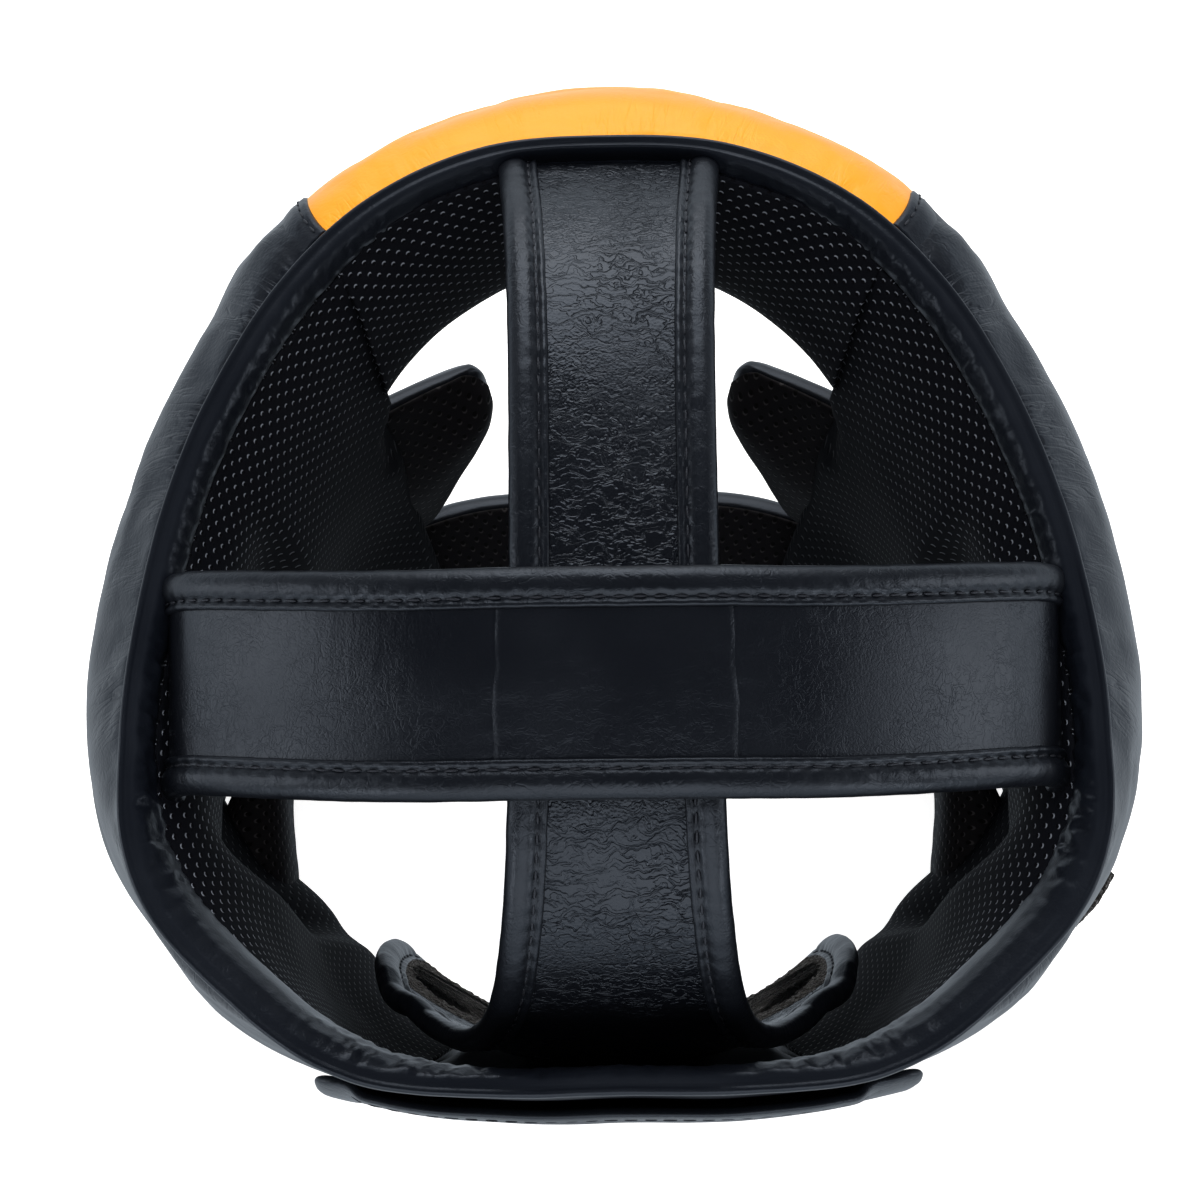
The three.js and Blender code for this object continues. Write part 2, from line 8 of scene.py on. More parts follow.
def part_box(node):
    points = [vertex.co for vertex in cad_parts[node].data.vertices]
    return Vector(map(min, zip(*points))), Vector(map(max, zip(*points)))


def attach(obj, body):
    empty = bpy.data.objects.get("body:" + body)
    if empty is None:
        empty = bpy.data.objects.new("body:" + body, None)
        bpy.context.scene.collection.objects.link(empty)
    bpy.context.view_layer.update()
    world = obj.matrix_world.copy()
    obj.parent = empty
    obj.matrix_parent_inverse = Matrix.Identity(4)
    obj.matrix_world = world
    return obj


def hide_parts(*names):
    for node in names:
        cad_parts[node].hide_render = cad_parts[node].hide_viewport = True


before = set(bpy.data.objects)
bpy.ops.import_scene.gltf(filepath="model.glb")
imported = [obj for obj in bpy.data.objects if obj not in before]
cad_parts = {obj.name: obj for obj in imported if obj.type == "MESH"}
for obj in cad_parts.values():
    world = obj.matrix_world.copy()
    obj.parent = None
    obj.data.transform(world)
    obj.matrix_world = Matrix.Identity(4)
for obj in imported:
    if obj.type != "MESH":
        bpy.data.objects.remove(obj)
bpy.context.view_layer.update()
mm = 0.001
chinReach = 88 * mm                              # from the chin guard's front to the upright axis of the head
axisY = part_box("chin_guard")[0].y + chinReach
headAxis = Vector((0, axisY, 0))
lineSteps = 14                                   # points between two knots of a smooth line
sides = {"left": 1, "right": -1}
print("frame loaded, head axis at", round(axisY, 4))


# small helpers: tables, lines and places on the shell

def clamp(x, low, high):
    return min(max(x, low), high)


def clamp01(x):
    return clamp(x, 0.0, 1.0)


def ease(x, low, high):
    t = clamp01((x - low) / (high - low))
    return t * t * (3 - 2 * t)


def mix(a, b, t):
    return a + (b - a) * t


def squareOff(x, power):
    return math.copysign(abs(x) ** power, x)         # below 1 a circle's share moves towards a square


def evenly(a, b, count):
    return [mix(a, b, i / count) for i in range(count + 1)]


def ripple(x, y, seed):
    return noise.noise(Vector((x, y, seed)))         # smooth, from -1 to 1, the same every run


def stepShares(t):
    # shares of the two ends of a smooth step, then of their slopes
    return 2 * t ** 3 - 3 * t ** 2 + 1, 3 * t ** 2 - 2 * t ** 3, t ** 3 - 2 * t ** 2 + t, t ** 3 - t ** 2


def rowAt(table, at):
    # smooth row of a table, read by its first column
    keys = [row[0] for row in table]
    i = max([k for k in range(len(keys) - 1) if keys[k] <= at] or [0])
    step = keys[i + 1] - keys[i]
    low, high, lowTurn, highTurn = stepShares((at - keys[i]) / step)

    def slope(j, col):
        if keys[j] % 180 == 0:
            return 0.0                               # level on the middle plane
        a, b = table[max(j - 1, 0)], table[min(j + 1, len(table) - 1)]
        return (b[col] - a[col]) / (b[0] - a[0])

    values = []
    for col in range(1, len(table[0])):
        held = table[i][col] * low + table[i + 1][col] * high
        turned = slope(i, col) * lowTurn + slope(i + 1, col) * highTurn
        values.append(held + step * turned)
    return values


def lineLengths(line):
    lengths = [0.0]
    for a, b in zip(line, line[1:]):
        lengths.append(lengths[-1] + (b - a).length)
    return lengths


def spaced(line, count, power=1.0):
    # points along a line, closer together at its start where power is over 1
    lengths = lineLengths(line)
    found, k = [], 0
    for i in range(count + 1):
        want = lengths[-1] * (i / count) ** power
        while k < len(line) - 2 and lengths[k + 1] < want:
            k += 1
        span = lengths[k + 1] - lengths[k]
        found.append(line[k].lerp(line[k + 1], clamp01((want - lengths[k]) / span) if span else 0))
    return found


def smoothLine(points, count, power=1.0):
    # smooth line through a few points
    knots = [Vector(p) for p in points]
    knots = [2 * knots[0] - knots[1], *knots, 2 * knots[-1] - knots[-2]]
    dense = []
    for a, b, c, d in zip(knots, knots[1:], knots[2:], knots[3:]):
        ab, bc, cd = (b - a).length, (c - b).length, (d - c).length
        leave = ((c - b) / bc * ab + (b - a) / ab * bc) / (ab + bc) * bc
        arrive = ((d - c) / cd * bc + (c - b) / bc * cd) / (bc + cd) * bc
        for k in range(lineSteps):
            low, high, lowTurn, highTurn = stepShares(k / lineSteps)
            dense.append(b * low + c * high + leave * lowTurn + arrive * highTurn)
    dense.append(knots[-2])
    return spaced(dense, count, power)


def onShell(angle, spot):
    turn = math.radians(angle)
    return Vector((spot[0] * math.sin(turn), -spot[0] * math.cos(turn), spot[1])) * mm + headAxis


# a grid that is laid over the shape, with its lengths on the surface as UV

def layGrid(along, around, place):
    # place(i, j) gives a point and its lengths on the surface, both in metres
    bm = bmesh.new()
    bmesh.ops.create_grid(bm, x_segments=along, y_segments=around, size=0.5)
    uvLayer = bm.loops.layers.uv.new("surface")
    lengths = {}
    for vert in bm.verts:
        i, j = round((vert.co.x + 0.5) * along), round((vert.co.y + 0.5) * around)
        vert.co, lengths[vert] = place(i, j)
    for face in bm.faces:
        for loop in face.loops:
            loop[uvLayer].uv = lengths[loop.vert]
    return bm


closeLook = {"merge": 0.01 * mm, "shortest": 0.005 * mm}


def closeUp(bm):
    bmesh.ops.remove_doubles(bm, verts=bm.verts, dist=closeLook["merge"])
    bmesh.ops.dissolve_degenerate(bm, edges=bm.edges, dist=closeLook["shortest"])
    rims = [edge for edge in bm.edges if edge.is_boundary]
    if rims:
        filled = bmesh.ops.holes_fill(bm, edges=rims, sides=0)["faces"]
        bmesh.ops.triangulate(bm, faces=filled)
    bmesh.ops.recalc_face_normals(bm, faces=bm.faces)


def makePiece(bm, name, material, slot, replaced=()):
    for face in bm.faces:
        face.smooth = True
    mesh = bpy.data.meshes.new(name)
    bm.to_mesh(mesh)
    bm.free()
    piece = bpy.data.objects.new(name, mesh)
    bpy.context.scene.collection.objects.link(piece)
    mesh.materials.append(material)
    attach(piece, "root")
    if replaced:
        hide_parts(*replaced)
    return piece


def closedPiece(bm, *about):
    closeUp(bm)
    return makePiece(bm, *about)


def thinPiece(bm, wall, *about):
    # a sheet that gets its thickness to both sides
    bmesh.ops.recalc_face_normals(bm, faces=bm.faces)
    piece = makePiece(bm, *about)
    mod = piece.modifiers.new("wall", "SOLIDIFY")
    mod.thickness = wall
    mod.offset = 0.0
    mod.use_even_offset = True
    return piece


# materials

def addNode(tree, kind, place, values=None, **settings):
    node = tree.nodes.new(kind if kind.startswith("NodeGroup") else "ShaderNode" + kind)
    node.location = (place[0] * 180, -place[1] * 160)
    for key, value in settings.items():
        setattr(node, key, value)
    for key, value in (values or {}).items():
        node.inputs[key].default_value = value
    return node


def mixNode(tree, place, under, over):
    colours = {key: (*colour, 1) for key, colour in ((6, under), (7, over)) if colour}
    return addNode(tree, "Mix", place, colours, data_type="RGBA")


def wire(tree, *pairs):
    for (a, out), (b, into) in pairs:
        tree.links.new(a.outputs[out], b.inputs[into])


def newGroup(name, inputs, outputs):
    group = bpy.data.node_groups.new(name, "ShaderNodeTree")
    for label, kind, value in inputs:
        socket = group.interface.new_socket(label, in_out="INPUT", socket_type=kind)
        if value is not None:
            socket.default_value = value
    for label, kind in outputs:
        group.interface.new_socket(label, in_out="OUTPUT", socket_type=kind)
    start = addNode(group, "NodeGroupInput", (-6, 0))
    end = addNode(group, "NodeGroupOutput", (6, 0))
    return group, start, end


def leatherGroup(name, flat):
    # pebble grain, a net of creases and broad mottling; flat reads a UV map
    group, start, end = newGroup(
        name,
        [("Vector", "NodeSocketVector", None), ("Grain Size", "NodeSocketFloat", 900.0),
         ("Crease Size", "NodeSocketFloat", 160.0), ("Crease Stretch", "NodeSocketVector", (1, 1, 1)),
         ("Crease Share", "NodeSocketFloat", 0.5), ("Crease Width", "NodeSocketFloat", 0.15)],
        [("Height", "NodeSocketFloat"), ("Crease", "NodeSocketFloat"), ("Mottle", "NodeSocketFloat")])
    space = "2D" if flat else "3D"
    grain = addNode(group, "TexVoronoi", (-2, 0), voronoi_dimensions=space)
    warp = addNode(group, "TexNoise", (-4, 2), {"Scale": 220.0, "Detail": 2.0}, noise_dimensions=space)
    warpSize = addNode(group, "VectorMath", (-3, 2), {1: (0.006, 0.006, 0.006)}, operation="MULTIPLY")
    bent = addNode(group, "VectorMath", (-2, 2), operation="ADD")
    stretch = addNode(group, "VectorMath", (-1, 2), operation="MULTIPLY")
    crease = addNode(group, "TexVoronoi", (0, 2), voronoi_dimensions=space, feature="DISTANCE_TO_EDGE")
    finer = addNode(group, "Math", (-1, 3.5), {1: 1.6}, operation="MULTIPLY")
    fine = addNode(group, "TexNoise", (0, 3.5), {"Detail": 1.0}, noise_dimensions=space)
    fineOff = addNode(group, "Math", (1, 3.5), {1: 0.5}, operation="SUBTRACT")
    fineSize = addNode(group, "Math", (2, 3.5), operation="ABSOLUTE")
    groove = addNode(group, "MapRange", (1, 2))
    fineGroove = addNode(group, "MapRange", (3, 3.5), {"From Max": 0.05})
    both = addNode(group, "Math", (3, 2.5), operation="MULTIPLY")
    inverse = addNode(group, "Math", (3, 1.5), {0: 1.0}, operation="SUBTRACT")
    patch = addNode(group, "TexNoise", (0, 5), {"Scale": 45.0, "Detail": 1.0}, noise_dimensions=space)
    patchMask = addNode(group, "MapRange", (1, 5), {"From Min": 0.35, "From Max": 0.65, "To Min": 0.35})
    share = addNode(group, "Math", (2, 5), operation="MULTIPLY")
    creaseMask = addNode(group, "Math", (4, 2), operation="MULTIPLY")
    grainPart = addNode(group, "Math", (3, 0), {1: 0.35}, operation="MULTIPLY")
    height = addNode(group, "Math", (5, 1), operation="SUBTRACT")
    mottle = addNode(group, "TexNoise", (0, -1.5), {"Scale": 30.0, "Detail": 3.0}, noise_dimensions=space)
    wire(group,
         ((start, "Vector"), (grain, "Vector")), ((start, "Grain Size"), (grain, "Scale")),
         ((start, "Vector"), (warp, "Vector")), ((warp, "Color"), (warpSize, 0)),
         ((start, "Vector"), (bent, 0)), ((warpSize, 0), (bent, 1)),
         ((bent, 0), (stretch, 0)), ((start, "Crease Stretch"), (stretch, 1)),
         ((stretch, 0), (crease, "Vector")), ((start, "Crease Size"), (crease, "Scale")),
         ((start, "Crease Size"), (finer, 0)), ((finer, 0), (fine, "Scale")), ((stretch, 0), (fine, "Vector")),
         ((fine, "Fac"), (fineOff, 0)), ((fineOff, 0), (fineSize, 0)), ((fineSize, 0), (fineGroove, "Value")),
         ((crease, "Distance"), (groove, "Value")), ((start, "Crease Width"), (groove, "From Max")),
         ((groove, "Result"), (both, 0)), ((fineGroove, "Result"), (both, 1)), ((both, 0), (inverse, 1)),
         ((start, "Vector"), (patch, "Vector")), ((patch, "Fac"), (patchMask, "Value")),
         ((patchMask, "Result"), (share, 0)), ((start, "Crease Share"), (share, 1)),
         ((inverse, 0), (creaseMask, 0)), ((share, 0), (creaseMask, 1)),
         ((grain, "Distance"), (grainPart, 0)), ((grainPart, 0), (height, 0)), ((creaseMask, 0), (height, 1)),
         ((start, "Vector"), (mottle, "Vector")),
         ((height, 0), (end, "Height")), ((creaseMask, 0), (end, "Crease")), ((mottle, "Fac"), (end, "Mottle")))
    return group


def gathersGroup():
    # short wrinkles that start at a seam: U along it, V away from it
    group, start, end = newGroup(
        "seamGathers",
        [("Vector", "NodeSocketVector", None), ("Reach", "NodeSocketFloat", 0.03), ("Size", "NodeSocketFloat", 420.0)],
        [("Height", "NodeSocketFloat")])
    split = addNode(group, "SeparateXYZ", (-4, 0))
    squeeze = addNode(group, "VectorMath", (-4, 2), {1: (1, 0.16, 1)}, operation="MULTIPLY")
    lines = addNode(group, "TexNoise", (-2, 2), {"Detail": 2.0, "Distortion": 0.5}, noise_dimensions="2D")
    off = addNode(group, "Math", (-1, 2), {1: 0.5}, operation="SUBTRACT")
    size = addNode(group, "Math", (0, 2), operation="ABSOLUTE")
    sharp = addNode(group, "MapRange", (1, 2), {"From Max": 0.12})
    near = addNode(group, "MapRange", (0, 0), {"To Min": 1.0, "To Max": 0.0})
    cluster = addNode(group, "TexNoise", (-2, 4), {"Scale": 55.0, "Detail": 1.0}, noise_dimensions="2D")
    clusterMask = addNode(group, "MapRange", (-1, 4), {"From Min": 0.42, "From Max": 0.62})
    both = addNode(group, "Math", (2, 1), operation="MULTIPLY")
    height = addNode(group, "Math", (3, 1), operation="MULTIPLY")
    wire(group,
         ((start, "Vector"), (split, 0)), ((start, "Vector"), (squeeze, 0)), ((squeeze, 0), (lines, "Vector")),
         ((start, "Size"), (lines, "Scale")), ((lines, "Fac"), (off, 0)), ((off, 0), (size, 0)),
         ((size, 0), (sharp, "Value")), ((split, "Y"), (near, "Value")), ((start, "Reach"), (near, "From Max")),
         ((start, "Vector"), (cluster, "Vector")), ((cluster, "Fac"), (clusterMask, "Value")),
         ((near, "Result"), (both, 0)), ((clusterMask, "Result"), (both, 1)),
         ((both, 0), (height, 0)), ((sharp, "Result"), (height, 1)), ((height, 0), (end, "Height")))
    return group


def holesGroup():
    # staggered punched holes: two square lattices, one between the other; a slightly shifted copy of both leaves a
    # crescent on one rim of each hole, the mask of a painted glint
    group, start, end = newGroup(
        "punchedHoles",
        [("Vector", "NodeSocketVector", None), ("Pitch", "NodeSocketFloat", 3.3 * mm),
         ("Hole", "NodeSocketFloat", 0.17)],
        [("Hole", "NodeSocketFloat"), ("Painted Glint", "NodeSocketFloat"), ("Height", "NodeSocketFloat")])
    perPitch = addNode(group, "Math", (-5, 1), {0: 1.0}, operation="DIVIDE")
    cells = addNode(group, "VectorMath", (-4, 0), operation="SCALE")
    wire(group, ((start, "Vector"), (cells, 0)), ((start, "Pitch"), (perPitch, 1)),
         ((perPitch, 0), (cells, "Scale")))
    near = []
    for k, shift in enumerate(((0, 0, 0), (0.5, 0.5, 0), (0, 0.11, 0), (0.5, 0.61, 0))):
        moved = addNode(group, "VectorMath", (-3, k * 1.5), {1: shift}, operation="ADD")
        part = addNode(group, "VectorMath", (-2, k * 1.5), operation="FRACTION")
        centred = addNode(group, "VectorMath", (-1, k * 1.5), {1: (0.5, 0.5, 0)}, operation="SUBTRACT")
        flat = addNode(group, "VectorMath", (0, k * 1.5), {1: (1, 1, 0)}, operation="MULTIPLY")
        reach = addNode(group, "VectorMath", (1, k * 1.5), operation="LENGTH")
        wire(group, ((cells, 0), (moved, 0)), ((moved, 0), (part, 0)), ((part, 0), (centred, 0)),
             ((centred, 0), (flat, 0)), ((flat, 0), (reach, 0)))
        near.append(reach)
    nearest = addNode(group, "Math", (2, 0), operation="MINIMUM")
    nearestGlint = addNode(group, "Math", (2, 3), operation="MINIMUM")
    inner = addNode(group, "Math", (2, 1.5), {1: 0.72}, operation="MULTIPLY")
    hole = addNode(group, "MapRange", (3, 0), {"To Min": 1.0, "To Max": 0.0})
    glintDisc = addNode(group, "MapRange", (3, 3), {"To Min": 1.0, "To Max": 0.0})
    keep = addNode(group, "Math", (4, 1.5), {0: 1.0}, operation="SUBTRACT")
    paintedGlint = addNode(group, "Math", (5, 2.5), operation="MULTIPLY")
    height = addNode(group, "Math", (5, 0.5), {1: -1.0}, operation="MULTIPLY")
    wire(group,
         ((near[0], "Value"), (nearest, 0)), ((near[1], "Value"), (nearest, 1)),
         ((near[2], "Value"), (nearestGlint, 0)), ((near[3], "Value"), (nearestGlint, 1)),
         ((start, "Hole"), (inner, 0)),
         ((nearest, 0), (hole, "Value")), ((inner, 0), (hole, "From Min")), ((start, "Hole"), (hole, "From Max")),
         ((nearestGlint, 0), (glintDisc, "Value")), ((inner, 0), (glintDisc, "From Min")),
         ((start, "Hole"), (glintDisc, "From Max")),
         ((hole, "Result"), (keep, 1)), ((keep, 0), (paintedGlint, 0)), ((glintDisc, "Result"), (paintedGlint, 1)),
         ((hole, "Result"), (height, 0)),
         ((hole, "Result"), (end, "Hole")), ((paintedGlint, 0), (end, "Painted Glint")), ((height, 0), (end, "Height")))
    return group


leatherGrain = leatherGroup("leatherGrain", False)
strapGrain = leatherGroup("strapGrain", True)
seamGathers = gathersGroup()
punchedHoles = holesGroup()


def newMaterial(name, **settings):
    material = bpy.data.materials.new(name)
    material.use_nodes = True
    tree = material.node_tree
    shader = tree.nodes["Principled BSDF"]
    shader.location = (1400, 0)
    tree.nodes["Material Output"].location = (1700, 0)
    for key, value in settings.items():
        shader.inputs[key].default_value = value
    material.diffuse_color = shader.inputs["Base Color"].default_value
    return material, tree, shader


def leatherMaterial(look):
    # look: colours, roughness range, grain, creases and where the pattern is read from
    material, tree, shader = newMaterial(look["name"])
    shader.inputs["Specular IOR Level"].default_value = look["gloss"]
    shader.inputs["Specular Tint"].default_value = (*look["tint"], 1)
    coords = addNode(tree, "TexCoord", (-2, 0))
    grain = addNode(tree, "Group", (0, 0), {
        "Grain Size": look["grain"], "Crease Size": look["creaseSize"], "Crease Stretch": look["creaseStretch"],
        "Crease Share": look["creaseShare"], "Crease Width": look["creaseWidth"]},
        node_tree=strapGrain if look["coords"] == "UV" else leatherGrain)
    tone = mixNode(tree, (2, 0), look["dark"], look["light"])
    rough = addNode(tree, "MapRange", (2, 2), {"From Min": 0.3, "From Max": 0.7,
                                                         "To Min": look["rough"][0], "To Max": look["rough"][1]})
    bump = addNode(tree, "Bump", (4, 3), {"Strength": look["bump"], "Distance": look["depth"]})
    wire(tree,
         ((coords, look["coords"]), (grain, "Vector")), ((grain, "Mottle"), (tone, "Factor")),
         ((tone, 2), (shader, "Base Color")), ((grain, "Mottle"), (rough, "Value")),
         ((rough, "Result"), (shader, "Roughness")), ((bump, "Normal"), (shader, "Normal")))
    if "gathers" in look:
        gatherLines = addNode(tree, "Group", (0, 4), {"Reach": look["reach"]}, node_tree=seamGathers)
        part = addNode(tree, "Math", (2, 4), {1: look["gathers"]}, operation="MULTIPLY")
        total = addNode(tree, "Math", (3, 4), operation="ADD")
        wire(tree, ((coords, "UV"), (gatherLines, "Vector")), ((gatherLines, "Height"), (part, 0)),
             ((part, 0), (total, 0)), ((grain, "Height"), (total, 1)), ((total, 0), (bump, "Height")))
    else:
        wire(tree, ((grain, "Height"), (bump, "Height")))
    return material


def liningMaterial(look):
    material, tree, shader = newMaterial(look["name"])
    shader.inputs["Specular IOR Level"].default_value = look["gloss"]
    coords = addNode(tree, "TexCoord", (-2, 0))
    holes = addNode(tree, "Group", (0, 0), {"Pitch": look["pitch"], "Hole": look["hole"]},
                    node_tree=punchedHoles)
    weave = addNode(tree, "TexNoise", (0, 2), {"Scale": 1400.0, "Detail": 2.0})
    cloud = addNode(tree, "TexNoise", (0, 4), {"Scale": 25.0, "Detail": 2.0})
    tone = mixNode(tree, (2, 0), look["dark"], look["light"])
    # painted highlight: a lighter crescent on one rim of each hole stands in for its glint; further down the pad it
    # dims, a painted shade
    split = addNode(tree, "SeparateXYZ", (-1, -2))
    fade = addNode(tree, "MapRange", (0, -2), {"From Min": look["glintFullTo"], "From Max": look["glintFadedAt"],
                                                          "To Min": 1.0, "To Max": look["left"]})
    paintedGlintShare = addNode(tree, "Math", (1, -2), operation="MULTIPLY")
    paintedGlintTone = mixNode(tree, (3, 0), None, look["paintedGlint"])
    holeTone = mixNode(tree, (4, 0), None, look["inside"])
    rough = addNode(tree, "MapRange", (4, 2), {"To Min": look["rough"], "To Max": look["lipRough"]})
    weavePart = addNode(tree, "Math", (2, 3), {1: 0.12}, operation="MULTIPLY")
    height = addNode(tree, "Math", (3, 3), operation="ADD")
    bump = addNode(tree, "Bump", (5, 3), {"Strength": look["bump"], "Distance": look["depth"]})
    wire(tree,
         ((coords, "UV"), (holes, "Vector")), ((coords, "UV"), (weave, "Vector")),
         ((coords, "Object"), (cloud, "Vector")), ((cloud, "Fac"), (tone, "Factor")),
         ((coords, "UV"), (split, 0)), ((split, "Y"), (fade, "Value")),
         ((holes, "Painted Glint"), (paintedGlintShare, 0)), ((fade, "Result"), (paintedGlintShare, 1)),
         ((tone, 2), (paintedGlintTone, 6)), ((paintedGlintShare, 0), (paintedGlintTone, "Factor")),
         ((paintedGlintTone, 2), (holeTone, 6)), ((holes, "Hole"), (holeTone, "Factor")),
         ((holeTone, 2), (shader, "Base Color")),
         ((holes, "Painted Glint"), (rough, "Value")), ((rough, "Result"), (shader, "Roughness")),
         ((weave, "Fac"), (weavePart, 0)), ((weavePart, 0), (height, 0)), ((holes, "Height"), (height, 1)),
         ((height, 0), (bump, "Height")), ((bump, "Normal"), (shader, "Normal")))
    return material


def pileMaterial(look):
    material, tree, shader = newMaterial(look["name"], Roughness=look["rough"])
    shader.inputs["Sheen Weight"].default_value = look["sheen"]
    shader.inputs["Sheen Roughness"].default_value = look["sheenRough"]
    shader.inputs["Specular IOR Level"].default_value = look["gloss"]
    coords = addNode(tree, "TexCoord", (-2, 0))
    loops = addNode(tree, "TexVoronoi", (0, 0), {"Scale": look["loops"]}, feature="SMOOTH_F1")
    fuzz = addNode(tree, "TexNoise", (0, 2), {"Scale": look["loops"] * 1.7, "Detail": 5.0})
    # the loops are lighter on their raised middles and darker in the low gaps between them, a painted shade
    tone = mixNode(tree, (2, 0), look["light"], look["dark"])
    height = addNode(tree, "Math", (2, 2), operation="SUBTRACT")
    bump = addNode(tree, "Bump", (4, 2), {"Strength": 1.0, "Distance": look["depth"]})
    wire(tree,
         ((coords, "Object"), (loops, "Vector")), ((coords, "Object"), (fuzz, "Vector")),
         ((loops, "Distance"), (tone, "Factor")), ((tone, 2), (shader, "Base Color")),
         ((fuzz, "Fac"), (height, 0)), ((loops, "Distance"), (height, 1)),
         ((height, 0), (bump, "Height")), ((bump, "Normal"), (shader, "Normal")))
    return material


plainLeather = {"coords": "Object", "tint": (0.72, 0.83, 1.0), "gloss": 0.4, "grain": 1100.0, "creaseSize": 130.0,
                "creaseStretch": (1, 1, 0.7), "creaseShare": 0.3, "creaseWidth": 0.15, "bump": 0.4, "depth": 0.22 * mm}
wornLeather = {**plainLeather, "coords": "UV", "gloss": 0.45, "creaseSize": 420.0}           # flat straps
padLeather = leatherMaterial({
    **plainLeather, "name": "padLeather", "dark": (0.0031, 0.0040, 0.0063), "light": (0.0051, 0.0062, 0.0093),
    "rough": (0.27, 0.38), "gloss": 0.36, "bump": 0.5, "depth": 0.25 * mm, "gathers": 2.2, "reach": 0.03})
guardLeather = leatherMaterial({
    **plainLeather, "name": "guardLeather", "dark": (0.0042, 0.0049, 0.0072), "light": (0.0069, 0.0078, 0.0108),
    "rough": (0.32, 0.44)})
rearLeather = leatherMaterial({
    **plainLeather, "name": "rearLeather", "dark": (0.0035, 0.0042, 0.0062), "light": (0.0058, 0.0066, 0.0092),
    "rough": (0.5, 0.62), "gloss": 0.3})
trimLeather = leatherMaterial({
    **plainLeather, "name": "trimLeather", "dark": (0.0033, 0.0042, 0.0067), "light": (0.0054, 0.0066, 0.0099),
    "rough": (0.28, 0.4), "grain": 1300.0, "creaseSize": 220.0, "creaseStretch": (1, 1, 1),
    "bump": 0.35, "depth": 0.2 * mm})
strapLeather = leatherMaterial({
    **wornLeather, "name": "strapLeather", "dark": (0.0025, 0.0030, 0.0045), "light": (0.0039, 0.0046, 0.0066),
    "rough": (0.2, 0.34), "gloss": 0.5, "grain": 1300.0, "creaseSize": 400.0, "creaseStretch": (0.28, 1, 1),
    "creaseShare": 1.0, "creaseWidth": 0.085, "bump": 0.7})
crossLeather = leatherMaterial({
    **wornLeather, "name": "crossLeather", "dark": (0.0025, 0.0030, 0.0047), "light": (0.0040, 0.0047, 0.0069),
    "rough": (0.27, 0.4), "grain": 1500.0, "creaseStretch": (1, 0.8, 1), "creaseShare": 0.55, "creaseWidth": 0.09,
    "bump": 0.34, "depth": 0.2 * mm})
bandLeather = leatherMaterial({
    **wornLeather, "name": "bandLeather", "dark": (0.0027, 0.0033, 0.0050), "light": (0.0043, 0.0052, 0.0075),
    "rough": (0.28, 0.42), "grain": 900.0, "creaseStretch": (1, 0.6, 1), "creaseShare": 0.45})
orangeLeather = leatherMaterial({
    **plainLeather, "name": "orangeLeather", "dark": (0.93, 0.315, 0.012), "light": (0.98, 0.375, 0.02),
    "rough": (0.34, 0.46), "creaseSize": 110.0, "gathers": 1.6, "reach": 0.03, "tint": (1, 0.9, 0.62)})
orangeSheen = {"Sheen Weight": 0.6, "Sheen Roughness": 0.4, "Sheen Tint": (1.0, 0.86, 0.5, 1)}
for socket, value in orangeSheen.items():
    orangeLeather.node_tree.nodes["Principled BSDF"].inputs[socket].default_value = value
# the thread mottles at random up to a lighter grey, which stands in for small glints on the stitches, a painted
# highlight
threadBlack = leatherMaterial({
    **plainLeather, "name": "threadBlack", "dark": (0.004, 0.004, 0.0055), "light": (0.02, 0.021, 0.026),
    "rough": (0.4, 0.6), "gloss": 0.45, "grain": 3000.0, "creaseSize": 900.0, "creaseStretch": (1, 1, 1),
    "creaseShare": 0.4, "bump": 0.6, "depth": 0.1 * mm})
# each cloth paints a lighter crescent on one rim of every hole as its glint, a painted highlight; the first cloth dims
# it down the pad as painted shade, the second keeps it even
liningCloth = liningMaterial({
    "name": "liningCloth", "pitch": 4.0 * mm, "hole": 0.14, "dark": (0.0022, 0.0026, 0.0042),
    "light": (0.0042, 0.0047, 0.0068), "paintedGlint": (0.21, 0.23, 0.27), "inside": (0.002, 0.002, 0.003),
    "gloss": 0.07, "rough": 0.75, "lipRough": 0.4, "bump": 0.7, "depth": 0.35 * mm,
    "glintFullTo": 0.022, "glintFadedAt": 0.075, "left": 0.1})
bolsterCloth = liningMaterial({
    "name": "bolsterCloth", "pitch": 4.0 * mm, "hole": 0.17, "dark": (0.0062, 0.0058, 0.0075),
    "light": (0.0105, 0.0095, 0.011), "paintedGlint": (0.045, 0.042, 0.045), "inside": (0.002, 0.002, 0.002),
    "gloss": 0.12, "rough": 0.75, "lipRough": 0.5, "bump": 0.5, "depth": 0.25 * mm,
    "glintFullTo": 0.0, "glintFadedAt": 1.0, "left": 1.0})
pileFuzz = pileMaterial({
    "name": "pileFuzz", "light": (0.026, 0.022, 0.02), "dark": (0.004, 0.0035, 0.0035), "rough": 0.95,
    "gloss": 0.15, "sheen": 0.35, "sheenRough": 0.5, "loops": 900.0, "depth": 0.9 * mm})
print("materials made")


# shell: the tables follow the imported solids, in millimetres

